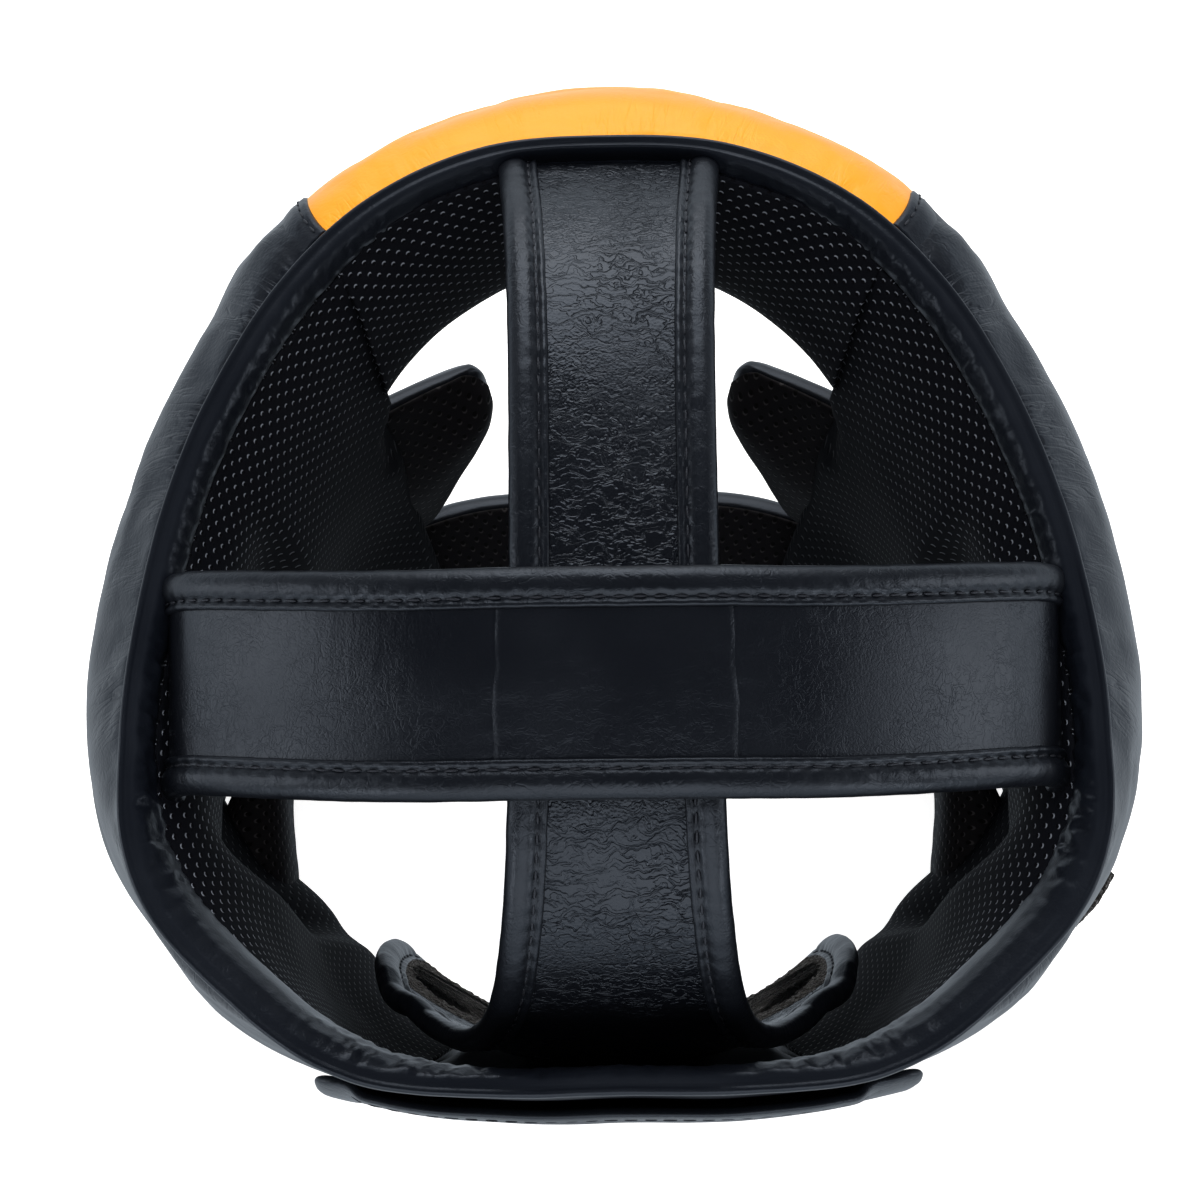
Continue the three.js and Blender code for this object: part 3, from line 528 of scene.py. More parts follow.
rimTable = [                        # angle, radius and height of the piping
    (0, 109, 212), (15, 110.3, 211.7), (30, 109, 211), (45, 105.4, 209.6), (60, 102.3, 208),
    (75, 102, 206), (90, 104.8, 204.2), (105, 111.9, 203), (115, 118.8, 201.8), (123, 121.6, 200.6),
    (135, 120.6, 198.4), (145, 120.2, 196.2), (152, 118, 194.8), (165, 110.4, 193), (180, 106.4, 192)]
foreheadTable = [                   # angle, bulge, bulgeZ, lowOut, lowIn, lowZ, upIn
    (0, 133.3, 181, 126, 107, 139, 102.5), (12, 131.8, 180, 125, 104.5, 139, 101),
    (24, 129.3, 178, 121, 99, 139.5, 97), (31, 128.1, 175.5, 118, 95, 140.2, 94.8),
    (37, 126.9, 173, 115, 91, 141, 92.5)]
sideTable = [                       # angle, bulge, bulgeZ, midOut, lowOut, lowIn, lowZ, midIn, upIn
    (37, 127.6, 173, 106.6, 96, 74, 5, 83.5, 91), (42, 126.3, 170, 107.6, 96.4, 74.6, 4.2, 82.9, 88.5),
    (50, 120.6, 165, 109, 97, 75.5, 3, 82, 84.5),
    (65, 118.7, 156, 112.8, 102, 77.5, 1, 79.5, 80.5), (80, 118.8, 147, 117.6, 111.5, 79, 0, 78.5, 79.5),
    (95, 121.5, 139, 119.8, 114, 79, 0, 78, 82), (108, 122.7, 138, 116.6, 105, 79.5, 0, 81.5, 88),
    (120, 119.2, 140, 111, 94, 75.5, 0, 87, 96), (135, 118.0, 144, 106, 90, 76, 12, 92, 103),
    (150, 108.8, 144, 95, 84.5, 75, 30, 89, 102)]
rearTable = [                       # angle, upOut, midOut, lowOut, lowZ
    (150, 109, 95, 83, 32), (165, 102, 88.5, 78.5, 40), (180, 98.6, 86.4, 77, 44)]

shell = {"frontSeam": 37.0, "rearSeam": 150.0, "cheekLine": 85.0, "templeLine": 150.0, "pocketDepth": 26.0,
         "pocketAngles": (66, 73, 111, 122), "rimWobble": 0.45, "shoulder": 0.6}


def foldAngle(angle):
    return 180 - abs(180 - abs(angle) % 360)


def between(x, low, high, soft):
    return ease(x, low - soft, low + soft) * (1 - ease(x, high - soft, high + soft))


def rimAt(angle):
    rim, rimZ = rowAt(rimTable, foldAngle(angle))
    turn = math.radians(angle)
    out = ripple(2.4 * math.sin(turn), 2.4 * math.cos(turn), 7.3)
    up = ripple(3 * math.sin(turn), 3 * math.cos(turn), 2.1)
    return rim + shell["rimWobble"] * out, rimZ + 0.8 * shell["rimWobble"] * up


def pocketAt(angle):
    a, b, c, d = shell["pocketAngles"]
    return shell["pocketDepth"] * ease(angle, a, b) * (1 - ease(angle, c, d))


def sideLines(angle, count, signed):
    # outer and inner face of a side pad from the rim down to the middle of its lower edge
    bulge, bulgeZ, midOut, lowOut, lowIn, lowZ, midIn, upIn = rowAt(sideTable, angle)
    lowZ = max(lowZ, 0)
    rim, rimZ = rimAt(signed)
    pocket = pocketAt(angle)
    lowIn += min(pocket * (1 - ease(angle, 84, 110)), max(lowOut - lowIn - 9, 0))
    foot = (mix(lowOut, lowIn, 0.5), lowZ)
    outer = smoothLine([
        (rim - 0.4, rimZ - 4.2), (mix(rim, bulge, shell["shoulder"]), mix(rimZ, bulgeZ, 0.34)), (bulge, bulgeZ),
        (midOut, shell["cheekLine"]), (lowOut, lowZ + 14), (mix(lowOut, foot[0], 0.3), lowZ + 2.5), foot],
        count, 1.3)
    inner = smoothLine([
        (rim - 4, rimZ - 4.6), (rim - 4.6, rimZ - 7.5),
        (mix(upIn, rim - 5.4, 0.62), mix(shell["templeLine"], rimZ, 0.62)),
        (upIn + 0.35 * pocket, shell["templeLine"]), (midIn + pocket, shell["cheekLine"]),
        (lowIn, lowZ + 10), (mix(lowIn, foot[0], 0.4), lowZ + 2), foot], count, 1.1)
    return outer, inner


def foreheadLines(angle, count):
    bulge, bulgeZ, lowOut, lowIn, lowZ, upIn = rowAt(foreheadTable, abs(angle))
    rim, rimZ = rimAt(angle)
    foot = (mix(lowOut, lowIn, 0.5), lowZ - 0.4)
    outer = smoothLine([
        (rim - 0.4, rimZ - 4.2), (mix(rim, bulge, shell["shoulder"]), mix(rimZ, bulgeZ, 0.34)), (bulge, bulgeZ),
        (mix(lowOut, bulge, 0.5), mix(lowZ, bulgeZ, 0.36)), (lowOut - 2.4, lowZ + 3), foot], count, 1.2)
    inner = smoothLine([
        (rim - 4, rimZ - 4.6), (rim - 4.6, rimZ - 7.5), (mix(rim - 5.4, upIn, 0.6), mix(rimZ, lowZ, 0.3)),
        (upIn, mix(rimZ, lowZ, 0.55)), (lowIn - 1.5, lowZ + 10), (lowIn + 2, lowZ + 2.6), foot], count, 1.1)
    return outer, inner


def shellSpot(point):
    # angle, radius and height of a point, in degrees and millimetres
    forward = axisY - point.y
    return math.degrees(math.atan2(point.x, forward)), math.hypot(point.x, forward) / mm, point.z / mm


def rimDepth(angle, radius, height):
    # how far below the piping a place on the cover is
    rim, rimZ = rowAt(rimTable, abs(angle))
    return math.hypot(rim - radius, rimZ - 4 - height)


def facesOut(point, normal):
    return normal.x * point.x + normal.y * (point.y - axisY) > 0.15 * math.hypot(point.x, point.y - axisY)


# covers: the leather swells over its foam in a short cloth run, then takes its fine gathers

coverLook = {"pressure": 3.0, "growth": 0.035, "frames": 20, "cap": 2.6 * mm, "take": 0.4}
coverCloth = {"quality": 6, "mass": 0.2, "tension_stiffness": 25, "compression_stiffness": 25, "shear_stiffness": 8,
              "bending_stiffness": 0.25, "vertex_group_mass": "sewn", "use_pressure": True,
              "uniform_pressure_force": coverLook["pressure"], "shrink_min": -coverLook["growth"]}


def fillOut(piece, freeAt):
    rest = [vert.co.copy() for vert in piece.data.vertices]
    free = [freeAt(vert.co, vert.normal) for vert in piece.data.vertices]
    sewn = piece.vertex_groups.new(name="sewn")
    sewn.add([k for k, share in enumerate(free) if share <= 0], 1.0, "REPLACE")
    cloth = piece.modifiers.new("fill", "CLOTH")
    for key, value in coverCloth.items():
        setattr(cloth.settings, key, value)
    cloth.settings.effector_weights.gravity = 0
    cloth.collision_settings.use_collision = False
    cloth.point_cache.frame_end = coverLook["frames"]
    for step in range(1, coverLook["frames"] + 1):
        bpy.context.scene.frame_set(step)
    swollen = [vert.co.copy() for vert in piece.evaluated_get(bpy.context.evaluated_depsgraph_get()).data.vertices]
    piece.modifiers.remove(cloth)
    piece.vertex_groups.remove(sewn)
    bpy.context.scene.frame_set(1)
    moves = []
    for vert, start, share, end in zip(piece.data.vertices, rest, free, swollen):
        move = end - start
        move *= min(1.0, coverLook["cap"] / max(move.length, 1e-9)) * share * coverLook["take"]
        vert.co = start + move
        moves.append(move.length)
    print(piece.name, "swelled, most", round(max(moves) / mm, 2), "mm")


def refine(piece, heightAt):
    # one subdivision, then small moves off the surface
    smooth = piece.modifiers.new("smooth", "SUBSURF")
    smooth.levels = smooth.render_levels = 1
    mesh = bpy.data.meshes.new_from_object(piece.evaluated_get(bpy.context.evaluated_depsgraph_get()))
    piece.modifiers.remove(smooth)
    old, piece.data = piece.data, mesh
    mesh.name = piece.name
    bpy.data.meshes.remove(old)
    moves = [vert.normal * heightAt(vert.co, vert.normal) * mm for vert in mesh.vertices]
    for vert, move in zip(mesh.vertices, moves):
        vert.co += move
    return piece


def gathers(arc, depth, seed):
    # short wrinkles that run away from the rim in clusters: arc along it, depth from it
    cluster = 0.25 + 0.75 * ease(ripple(arc / 24, 0.0, seed), -0.05, 0.4)
    sharp = 1 - 2.2 * abs(ripple(arc / 4.5 + 0.25 * ripple(arc / 9, depth / 7, seed + 8), depth / 30, seed + 3))
    fine = ripple(arc / 1.9, depth / 12, seed + 5)
    broad = ripple(arc / 8, depth / 26, seed + 6)
    near = math.exp(-depth / 13) * ease(depth, 0.5, 3)
    return near * cluster * (0.34 * sharp + 0.16 * fine) + 0.5 * broad * math.exp(-depth / 24) * ease(depth, 0, 4)


# side pads

padLook = {"along": 112, "ring": 50, "roll": 11.0, "edge": 4.0, "eyes": (119, 141), "thinEnd": 26, "endWall": 4.2,
           "mattFrom": 148.5, "mattInside": 106, "radius": 112, "fill": 0.85}


def padGrid(stations, rings, onSide, shape):
    # closed pad: down the outer face, round the foot and up the inner face
    count = len(rings[0][0]) - 1
    depths = [lineLengths(outer) for outer, inner in rings]

    def place(i, j):
        outer, inner = rings[i]
        j = j % (2 * count)
        isOuter, k = (True, j) if j <= count else (False, 2 * count - j)
        arc = math.radians(stations[i]) * 110 * mm
        down = depths[i][k] * mm if isOuter else 0.8 - depths[i][k] * mm
        return onShell(onSide * stations[i], shape(i, k, isOuter, outer[k], inner[k])), (arc, down)

    return layGrid(len(stations) - 1, 2 * count, place)


def sideStations(count):
    # a close pair at the front keeps that end square under the hem
    first, last = shell["frontSeam"] - 0.3, shell["rearSeam"] - 0.3
    even = [i / count for i in range(count + 1)]
    return [first - 0.15] + [mix(first, last, u - 0.07 * math.sin(2 * math.pi * u)) for u in even]


def sideShape(stations):
    def shape(i, k, isOuter, outer, inner):
        angle = stations[i]
        spot = outer.copy() if isOuter else inner.copy()
        middle = (outer + inner) / 2
        # edge beside the eyes rolls over, the rest of the front edge is only softened
        fromFront = math.radians(angle - stations[0]) * middle.x
        eyes = between(middle.y, *padLook["eyes"], 4)
        roll = mix(padLook["edge"], padLook["roll"], eyes)
        rounding = math.sqrt(1 - (1 - clamp01(fromFront / roll)) ** 2)
        above = ease(middle.y, padLook["eyes"][1], shell["templeLine"])
        spot = spot.lerp(middle, (1 - rounding) * mix(0.3, 1.0, eyes) * (1 - above))
        # rear end thins down to the rear panel
        fromRear = math.radians(stations[-1] - angle) * middle.x
        thin = (1 - ease(fromRear, 0, padLook["thinEnd"])) ** 1.4 * ease(middle.y, 76, 106)
        if not isOuter:
            spot = spot.lerp(outer + Vector((-padLook["endWall"], 0)), thin * ease(k, 0, 8))
        return spot

    return shape


def sideFree(point, normal):
    angle, radius, height = shellSpot(point)
    angle = abs(angle)
    if not facesOut(point, normal) or height < 6:
        return 0.0
    return ease(rimDepth(angle, radius, height), 1, 6) * between(angle, 40, 145, 2.2) * ease(height, 6, 16)


earPanel = {"angle": 89.0, "height": 84.0, "halfWide": 31.0, "halfHigh": 40.0, "square": 2.6, "radius": 114,
            "sewInset": 3.4}
lowerHem = {"height": 9.0, "sewAbove": 2.6, "sewFrom": 46, "sewTo": 147}


def lowEdge(angle):
    return max(rowAt(sideTable, clamp(angle, shell["frontSeam"], shell["rearSeam"]))[5], 0)


def earPanelAway(angle, z):
    # distance from the ear panel's outline, in millimetres
    across, up = math.radians(angle - earPanel["angle"]) * earPanel["radius"], z - earPanel["height"]
    power = earPanel["square"]
    size = (abs(across / earPanel["halfWide"]) ** power + abs(up / earPanel["halfHigh"]) ** power) ** (1 / power)
    return (size - 1) * math.hypot(across, up) / max(size, 0.05)


def sideHeight(side):
    seed = 3.0 if side > 0 else 11.0

    def height(point, normal):
        angle, radius, z = shellSpot(point)
        angle = abs(angle)
        if not facesOut(point, normal):
            return 0.0
        depth = rimDepth(angle, radius, z)
        arc = math.radians(angle) * padLook["radius"]
        more, less = 1 + 0.9 * between(angle, 86, 108, 8), 1 - 0.6 * ease(angle, 120, 135)
        push = 1.3 * gathers(arc, depth, seed) * more * less
        push -= 0.8 * math.exp(-((depth - 1.2) / 1.8) ** 2)                  # seam under the piping
        rear = between(angle, 118, 152, 8)
        push += rear * (1.3 * math.exp(-((depth - 15) / 6) ** 2) - 1.6 * math.exp(-((depth - 5) / 3.2) ** 2))
        push += 0.5 * ripple(arc / 40, z / 34, seed + 2) * ease(depth, 8, 30)
        fromFront = math.radians(angle - shell["frontSeam"] - 0.3) * padLook["radius"]
        push += 0.45 * ripple(z / 5, fromFront / 20, seed + 9) * math.exp(-fromFront / 9)
        low = lowEdge(angle)
        away = earPanelAway(angle, z)                                        # sewn outline of the ear panel
        push += 0.5 * math.exp(-((abs(away) - 6) / 4) ** 2) - 1.1 * math.exp(-(away / 1.5) ** 2)
        push -= 0.8 * math.exp(-((z - low - lowerHem["height"]) / 1.5) ** 2) * ease(angle, 41, 46)   # sewn hem
        push += 0.35 * ripple(arc / 6, z / 16, seed + 12) * math.exp(-(z - low) / 12)
        return push

    return height


pads = {}
for name, side in sides.items():
    stations = sideStations(padLook["along"])
    rings = [sideLines(angle, padLook["ring"], side * angle) for angle in stations]
    bm = padGrid(stations, rings, side, sideShape(stations))
    pads[name] = closedPiece(bm, name + "SidePad", padLeather, "black_leather", [name + "_side_pad"])
    fillOut(pads[name], sideFree)
    refine(pads[name], sideHeight(side))
    pads[name].data.materials.append(rearLeather)
    for face in pads[name].data.polygons:                                    # matt inner end beside the rear panel
        angle, radius, z = shellSpot(face.center)
        if abs(angle) > padLook["mattFrom"] and radius < padLook["mattInside"]:
            face.material_index = 1
print("side pads made")


# forehead pad, orange outside and black inside

foreheadLook = {"along": 90, "ring": 40, "ends": 36.7, "tips": 36.85, "blackFrom": 36.2, "radius": 118, "fill": 0.9,
                "lowZ": 139, "sewZ": 146.5, "sewTo": 35}
foreheadStations = [-foreheadLook["tips"],
                    *evenly(-foreheadLook["ends"], foreheadLook["ends"], foreheadLook["along"]),
                    foreheadLook["tips"]]
foreheadRings = [foreheadLines(angle, foreheadLook["ring"]) for angle in foreheadStations]


def foreheadShape(i, k, isOuter, outer, inner):
    return outer if isOuter else inner


def foreheadFree(point, normal):
    angle, radius, height = shellSpot(point)
    if not facesOut(point, normal):
        return 0.0
    return ease(rimDepth(angle, radius, height), 1, 6) * (1 - ease(abs(angle), 32, 36)) * ease(height, 143, 150)


def foreheadHeight(point, normal):
    angle, radius, z = shellSpot(point)
    if not facesOut(point, normal):
        return 0.0
    depth = rimDepth(angle, radius, z)
    arc = math.radians(angle) * foreheadLook["radius"]
    fromSeam = math.radians(foreheadLook["ends"] - abs(angle)) * foreheadLook["radius"]
    push = 0.8 * gathers(arc, depth, 21.0)
    push -= 0.8 * math.exp(-((depth - 1.2) / 1.8) ** 2)
    push += 0.4 * ripple(arc / 40, z / 30, 23.0) * ease(depth, 8, 30)
    push += 0.5 * ripple(z / 4.5, fromSeam / 16, 29.0) * math.exp(-fromSeam / 8)
    push += 0.35 * ripple(arc / 6, z / 14, 33.0) * math.exp(-(z - foreheadLook["lowZ"]) / 8)
    return push


bm = padGrid(foreheadStations, foreheadRings, 1, foreheadShape)
foreheadPad = closedPiece(bm, "foreheadPad", orangeLeather, "orange_leather", ["forehead_pad"])
fillOut(foreheadPad, foreheadFree)
refine(foreheadPad, foreheadHeight)
foreheadPad.data.materials.append(trimLeather)
faceUv = foreheadPad.data.uv_layers["surface"].data
for face in foreheadPad.data.polygons:
    down = max(faceUv[k].uv.y for k in face.loop_indices)
    ends = abs(shellSpot(face.center)[0]) > foreheadLook["blackFrom"] and not facesOut(face.center, face.normal)
    face.material_index = 1 if down > 0.4 or ends else 0
print("forehead pad made")


# linings: a thin sheet that follows the inner face of each pad

liningLook = {"stand": 1.2, "least": 0.8, "wall": 1.0, "radius": 95}


def facing(point, i, j, rows, cols):
    # direction off a surface that is given by point(i, j)
    a, b = point(max(i - 1, 0), j), point(min(i + 1, rows), j)
    c, d = point(i, max(j - 1, 0)), point(i, min(j + 1, cols))
    return (b - a).cross(d - c).normalized()


def sheetGrid(rows, cols, point, lengths, standAt, flip):
    # sheet at a distance off point(i, j), with its lengths as UV
    places = [[point(i, j) for j in range(cols + 1)] for i in range(rows + 1)]

    def place(i, j):
        off = facing(lambda a, b: places[a][b], i, j, rows, cols) * flip
        return places[i][j] + off * standAt(i, j) * mm, lengths(i, j)

    return layGrid(rows, cols, place), cutSize(places)


def cutSize(places):
    # longest lengths along and down the plain pad face that a sheet is cut for, and the area of that face
    along = max(lineLengths(line)[-1] for line in zip(*places))
    down = max(lineLengths(line)[-1] for line in places)
    area = 0.0
    for line, after in zip(places, places[1:]):
        for j in range(len(line) - 1):
            area += (after[j + 1] - line[j]).cross(after[j] - line[j + 1]).length / 2
    return along, down, area


def declareSheet(cut):
    along, down, area = cut


def liningPiece(name, stations, rings, onSide, shape, first, last, node, flip, seed):
    down = lineLengths(rings[len(rings) // 2][1])

    def point(i, j):
        outer, inner = rings[i]
        return onShell(onSide * stations[i], shape(i, first + j, False, outer[first + j], inner[first + j]))

    def lengths(i, j):
        return (math.radians(stations[i]) * liningLook["radius"] * mm, down[first + j] * mm)

    def standAt(i, j):
        arc, deep = math.radians(stations[i]) * liningLook["radius"], down[first + j]
        dents = 0.55 * ripple(arc / 13, deep / 60, seed) * math.exp(-deep / 60)
        dents += 0.35 * ripple(arc / 30, deep / 30, seed + 3)
        seamGather = 0.5 * ripple(arc / 2.4, deep / 8, seed + 5) * math.exp(-(deep - 8) / 5)
        return max(liningLook["stand"] + dents + seamGather * ease(deep, 4, 8), liningLook["least"])

    bm, cut = sheetGrid(len(stations) - 1, last - first, point, lengths, standAt, flip)
    piece = thinPiece(bm, liningLook["wall"] * mm, name, liningCloth, "lining", [node])
    declareSheet(cut)


for name, side in sides.items():
    stations = sideStations(200)[1:]
    rings = [sideLines(angle, 80, side * angle) for angle in stations]
    liningPiece(name + "SideLining", stations, rings, side, sideShape(stations), 3, 75,
                name + "_side_lining", side, 31.0 + side)
stations = evenly(-37.4, 37.4, 120)
rings = [foreheadLines(angle, 50) for angle in stations]
liningPiece("foreheadLining", stations, rings, 1, foreheadShape, 2, 46, "forehead_lining", 1, 37.0)
print("linings made")


# rim: piping, smooth facing and a gathered seam to the lining

rimLook = {"around": 1000, "ring": 44, "gather": 0.42, "across": 1.15, "frontAcross": 0.5, "wideAcross": 1.2,
           "wideDown": 2.0, "facing": -1.45}
rimProfile = [                      # from the piping inward: across, up
    (0.0, -4.8), (0.5, -3.4), (0.7, -2.0), (0.3, -1.05), (-0.35, -0.85), (-0.95, -1.3), (-1.45, -1.5), (-2.3, -1.05),
    (-3.4, -1.2), (-4.6, -2.4), (-5.6, -4.4), (-6.3, -6.8), (-6.2, -8.6), (-5.2, -8.2), (-4.4, -5.6), (-2.6, -3.6),
    (-1.2, -4.2)]


def rimGrid():
    count = rimLook["ring"]
    line = smoothLine([*rimProfile, rimProfile[0]], count)

    def place(i, j):
        angle = 360 * (i % rimLook["around"]) / rimLook["around"]
        fold, turn = foldAngle(angle), math.radians(angle)
        rim, rimZ = rimAt(angle)
        across, up = line[j % count]
        wide = between(fold, 116, 156, 12)
        if across < rimLook["facing"]:                      # the facing widens towards the rear
            rearward = 0.45 * ease(fold, 11, 15) + 0.55 * ease(fold, 15, 48)
            wider = mix(rimLook["frontAcross"], rimLook["across"], rearward) + rimLook["wideAcross"] * wide
            across = rimLook["facing"] + (across - rimLook["facing"]) * wider
            up *= 1 + rimLook["wideDown"] * wide * ease(-across, 2, 6)
        x, y = math.cos(turn), math.sin(turn)
        inward = ease(-across, 2.8, 5.6)
        more = 1 + 1.2 * between(fold, 94, 122, 5) + 0.5 * between(fold, 146, 160, 4)
        gather = rimLook["gather"] * more * inward
        gather *= 1 - 0.75 * between(fold, 126, 143, 4)
        lift = gather * (ripple(44 * x, 44 * y, 4 + up / 5) + 0.6 * ripple(82 * x, 82 * y, 9 + up / 3))
        lift += 0.14 * ripple(18 * x, 18 * y, 14 + across / 4)
        spot = (rim + across - 0.6 * lift, rimZ + up + 0.8 * lift)
        return onShell(angle, spot), (math.radians(angle) * 108 * mm, j * 0.6 * mm)

    return layGrid(rimLook["around"], count, place)


closedPiece(rimGrid(), "rimBinding", trimLeather, "black_leather", ["rim_binding"])
print("rim made")


# rows of stitches, each a small spindle

stitchLook = {"pitch": 4.4, "length": 3.1, "radius": 0.33, "segments": 6, "sink": 0.15}


def sewRow(bm, path, pitch=None, length=None, radius=None, seed=1):
    # path holds points and the directions off the leather, in metres
    pitch = (pitch or stitchLook["pitch"]) * mm
    length = (length or stitchLook["length"]) * mm
    radius = (radius or stitchLook["radius"]) * mm
    rng = random.Random(seed)
    run, nextStitch = 0.0, pitch / 2
    for (a, offA), (b, offB) in zip(path, path[1:]):
        step = (b - a).length
        while step > 0 and run + step >= nextStitch:
            t = (nextStitch - run) / step
            along = (b - a).normalized()
            off = offA.lerp(offB, t).normalized()
            across = along.cross(off).normalized()
            along = (along + across * rng.uniform(-0.08, 0.08)).normalized()
            off = across.cross(along).normalized()
            across = along.cross(off)
            size = length * rng.uniform(0.9, 1.08) / 2
            turn = Matrix((along * size, across * radius, off * radius * 0.8)).transposed().to_4x4()
            turn.translation = a.lerp(b, t) + off * radius * 0.25
            bmesh.ops.create_uvsphere(bm, u_segments=stitchLook["segments"], v_segments=stitchLook["segments"],
                                      radius=1.0, matrix=turn @ Matrix.Rotation(math.pi / 2, 4, "Y"))
            nextStitch += pitch * rng.uniform(0.96, 1.04)
        run += step
    return bm


def stitchPiece(name, rows, **look):
    bm = bmesh.new()
    bm.loops.layers.uv.new("surface")
    for k, path in enumerate(rows):
        sewRow(bm, path, seed=k + len(name), **look)
    return makePiece(bm, name, threadBlack, "black_leather")


# crown strap from the forehead to the nape, with its wide tail

topStrapTable = [                   # forward, height, half width
    (105, 199, 23.6), (104.2, 204.5, 23.8), (101.4, 209.2, 23.8), (96, 214, 23.4), (84, 224, 22.6),
    (66, 234.5, 21.8), (44, 241.5, 21.3), (16, 244.6, 21.2), (-14, 243.6, 21.3), (-42, 236.6, 21.8),
    (-62, 224.5, 22.6), (-76, 208, 24.2), (-84.6, 188, 26.8), (-88, 166, 31), (-87.6, 144, 38),
    (-84.6, 124, 47.5), (-82.9, 115, 52.5), (-82, 109, 55.6), (-81.4, 105, 57.6), (-80.9, 102, 59),
    (-80.2, 99.5, 60.2), (-78.6, 96, 61.6), (-75.8, 88, 63.4), (-71, 74, 64), (-66.6, 61, 62.6),
    (-64.2, 54, 59.5), (-62.9, 50.5, 56)]
strapLook = {"along": 400, "across": 34, "thick": 2.4, "crease": 0.11, "tailRow": 15, "bandRow": 24.6,
             "bendUpper": 92.0, "bendLower": 72.0, "crown": 700.0, "underBand": 0.6}
strapLine = smoothLine([(f, z) for f, z, half in topStrapTable], strapLook["along"])
strapStep = lineLengths(strapLine)[-1] / strapLook["along"]


def rowsByLength(points, line):
    # where each table row lies along its smooth line, as a share from 0 to 1
    shares, k = [], 0
    for p in points:
        best = min(range(k, len(line)), key=lambda i: (line[i] - Vector(p)).length)
        shares.append(best / (len(line) - 1))
        k = best
    return shares


strapShares = rowsByLength([(f, z) for f, z, half in topStrapTable], strapLine)


def strapRow(share):
    k = max([i for i in range(len(strapShares) - 1) if strapShares[i] <= share] or [0])
    return k + clamp01((share - strapShares[k]) / (strapShares[k + 1] - strapShares[k]))


strapRowAt = [strapRow(i / strapLook["along"]) for i in range(strapLook["along"] + 1)]


def strapHalf(row):
    k = min(int(row), len(topStrapTable) - 2)
    before, a, b, after = [topStrapTable[clamp(k + n, 0, len(topStrapTable) - 1)][2] for n in (-1, 0, 1, 2)]
    t = row - k
    return mix(a, b, t) + t * (1 - t) * ((a - before) * (1 - t) - (after - b) * t + (b - a) * (2 * t - 1)) / 2


def strapPoint(i, across, off):
    i = clamp(i, 0, strapLook["along"])
    base = strapLine[i]
    along = (strapLine[min(i + 1, strapLook["along"])] - strapLine[max(i - 1, 0)]).normalized()
    out = Vector((along.y, -along.x))                 # forward and up parts of the way off the head
    row = strapRowAt[i]
    tail = strapLook["tailRow"]
    bent = ease(row, tail - 3.5, tail + 1)
    bend = mix(strapLook["bendUpper"], strapLook["bendLower"], ease(row, tail + 2, len(topStrapTable) - 1))
    turn = across / bend
    flat = Vector((across, 0, -across * across / strapLook["crown"]))
    rounded = Vector((bend * math.sin(turn), -bend * (1 - math.cos(turn)), 0))
    away = Vector((bent * math.sin(turn), -out.x, out.y)).normalized()
    return (Vector((0, -base.x, base.y)) + flat.lerp(rounded, bent) + away * off) * mm + headAxis


def strapCrease(along, across, seed):
    # net of creases, mostly across the strap
    bend = 2.2 * ripple(across / 14, along / 16, seed)
    fold = abs(ripple(across / 16, (along + bend) / 2.6, seed + 3))
    fold = min(fold, 0.4) / 0.4
    net = abs(ripple(across / 7 + along / 30, (along + bend) / 3.4, seed + 9))
    net = min(net, 0.3) / 0.3
    patch = ease(ripple(across / 40, along / 34, seed + 15), -0.35, 0.3)
    return (0.6 * fold + 0.4 * net - 1) * (0.35 + 0.65 * patch) + 0.8 * ripple(across / 20, along / 30, seed + 20)


def strapIndex(row):
    # first step along the strap that has reached a row of its table
    return next(i for i in range(strapLook["along"]) if strapRowAt[i] >= row)


halves = [strapHalf(row) for row in strapRowAt]


def topStrapGrid():
    def place(i, j):
        half = halves[i] - strapLook["underBand"]
        across = mix(-half, half, j / strapLook["across"])
        along = i * strapStep
        off = strapLook["crease"] * strapCrease(along, across, 41.0)
        return strapPoint(i, across, off), (across * mm, along * mm)

    return layGrid(strapLook["along"], strapLook["across"], place)


thinPiece(topStrapGrid(), strapLook["thick"] * mm, "topStrap", strapLeather, "black_leather", ["top_strap"])

# folded bands that bind the edges of both straps

bandLook = {"ring": 48, "sewAt": 5.5, "sewOff": 1.68, "outside": 3.0, "pull": 0.16}
bandProfile = [                     # folded band: in from its edge, off the strap
    (-1.1, 0.0), (-0.95, 1.0), (-0.3, 2.0), (0.9, 2.75), (2.4, 3.0), (3.8, 2.8), (4.8, 2.25), (5.5, 1.6), (6.0, 1.75),
    (6.5, 2.2), (7.1, 2.25), (7.55, 1.8), (7.7, 1.1), (7.6, 0.0), (7.5, -1.2), (7.2, -1.9), (5.5, -1.6), (4.0, -2.3),
    (1.0, -2.3), (-0.3, -1.8), (-0.95, -0.9)]
bandLine = smoothLine([*bandProfile, bandProfile[0]], bandLook["ring"])


def bandGrid(count, edgePoint, step, seed):
    # edgePoint(i, inward, off) gives places beside the strap's edge
    def place(i, j):
        inward, off = bandLine[j % bandLook["ring"]]
        arc = i * step
        sewn = math.exp(-((inward - bandLook["sewAt"]) / 1.6) ** 2)
        pull = -bandLook["pull"] * sewn * math.cos(2 * math.pi * arc / stitchLook["pitch"])
        gather = 0.13 * ripple(arc / 2.6, inward / 5, seed) * ease(inward, -1, 1.5)
        gather += 0.16 * ripple(arc / 9, inward / 9, seed + 4)
        lift = (pull + gather) * (1 if off > 0 else -1)
        return edgePoint(i, inward + 0.12 * ripple(arc / 6, 0, seed + 8), off + lift), (inward * mm, arc * mm)

    return layGrid(count, bandLook["ring"], place)


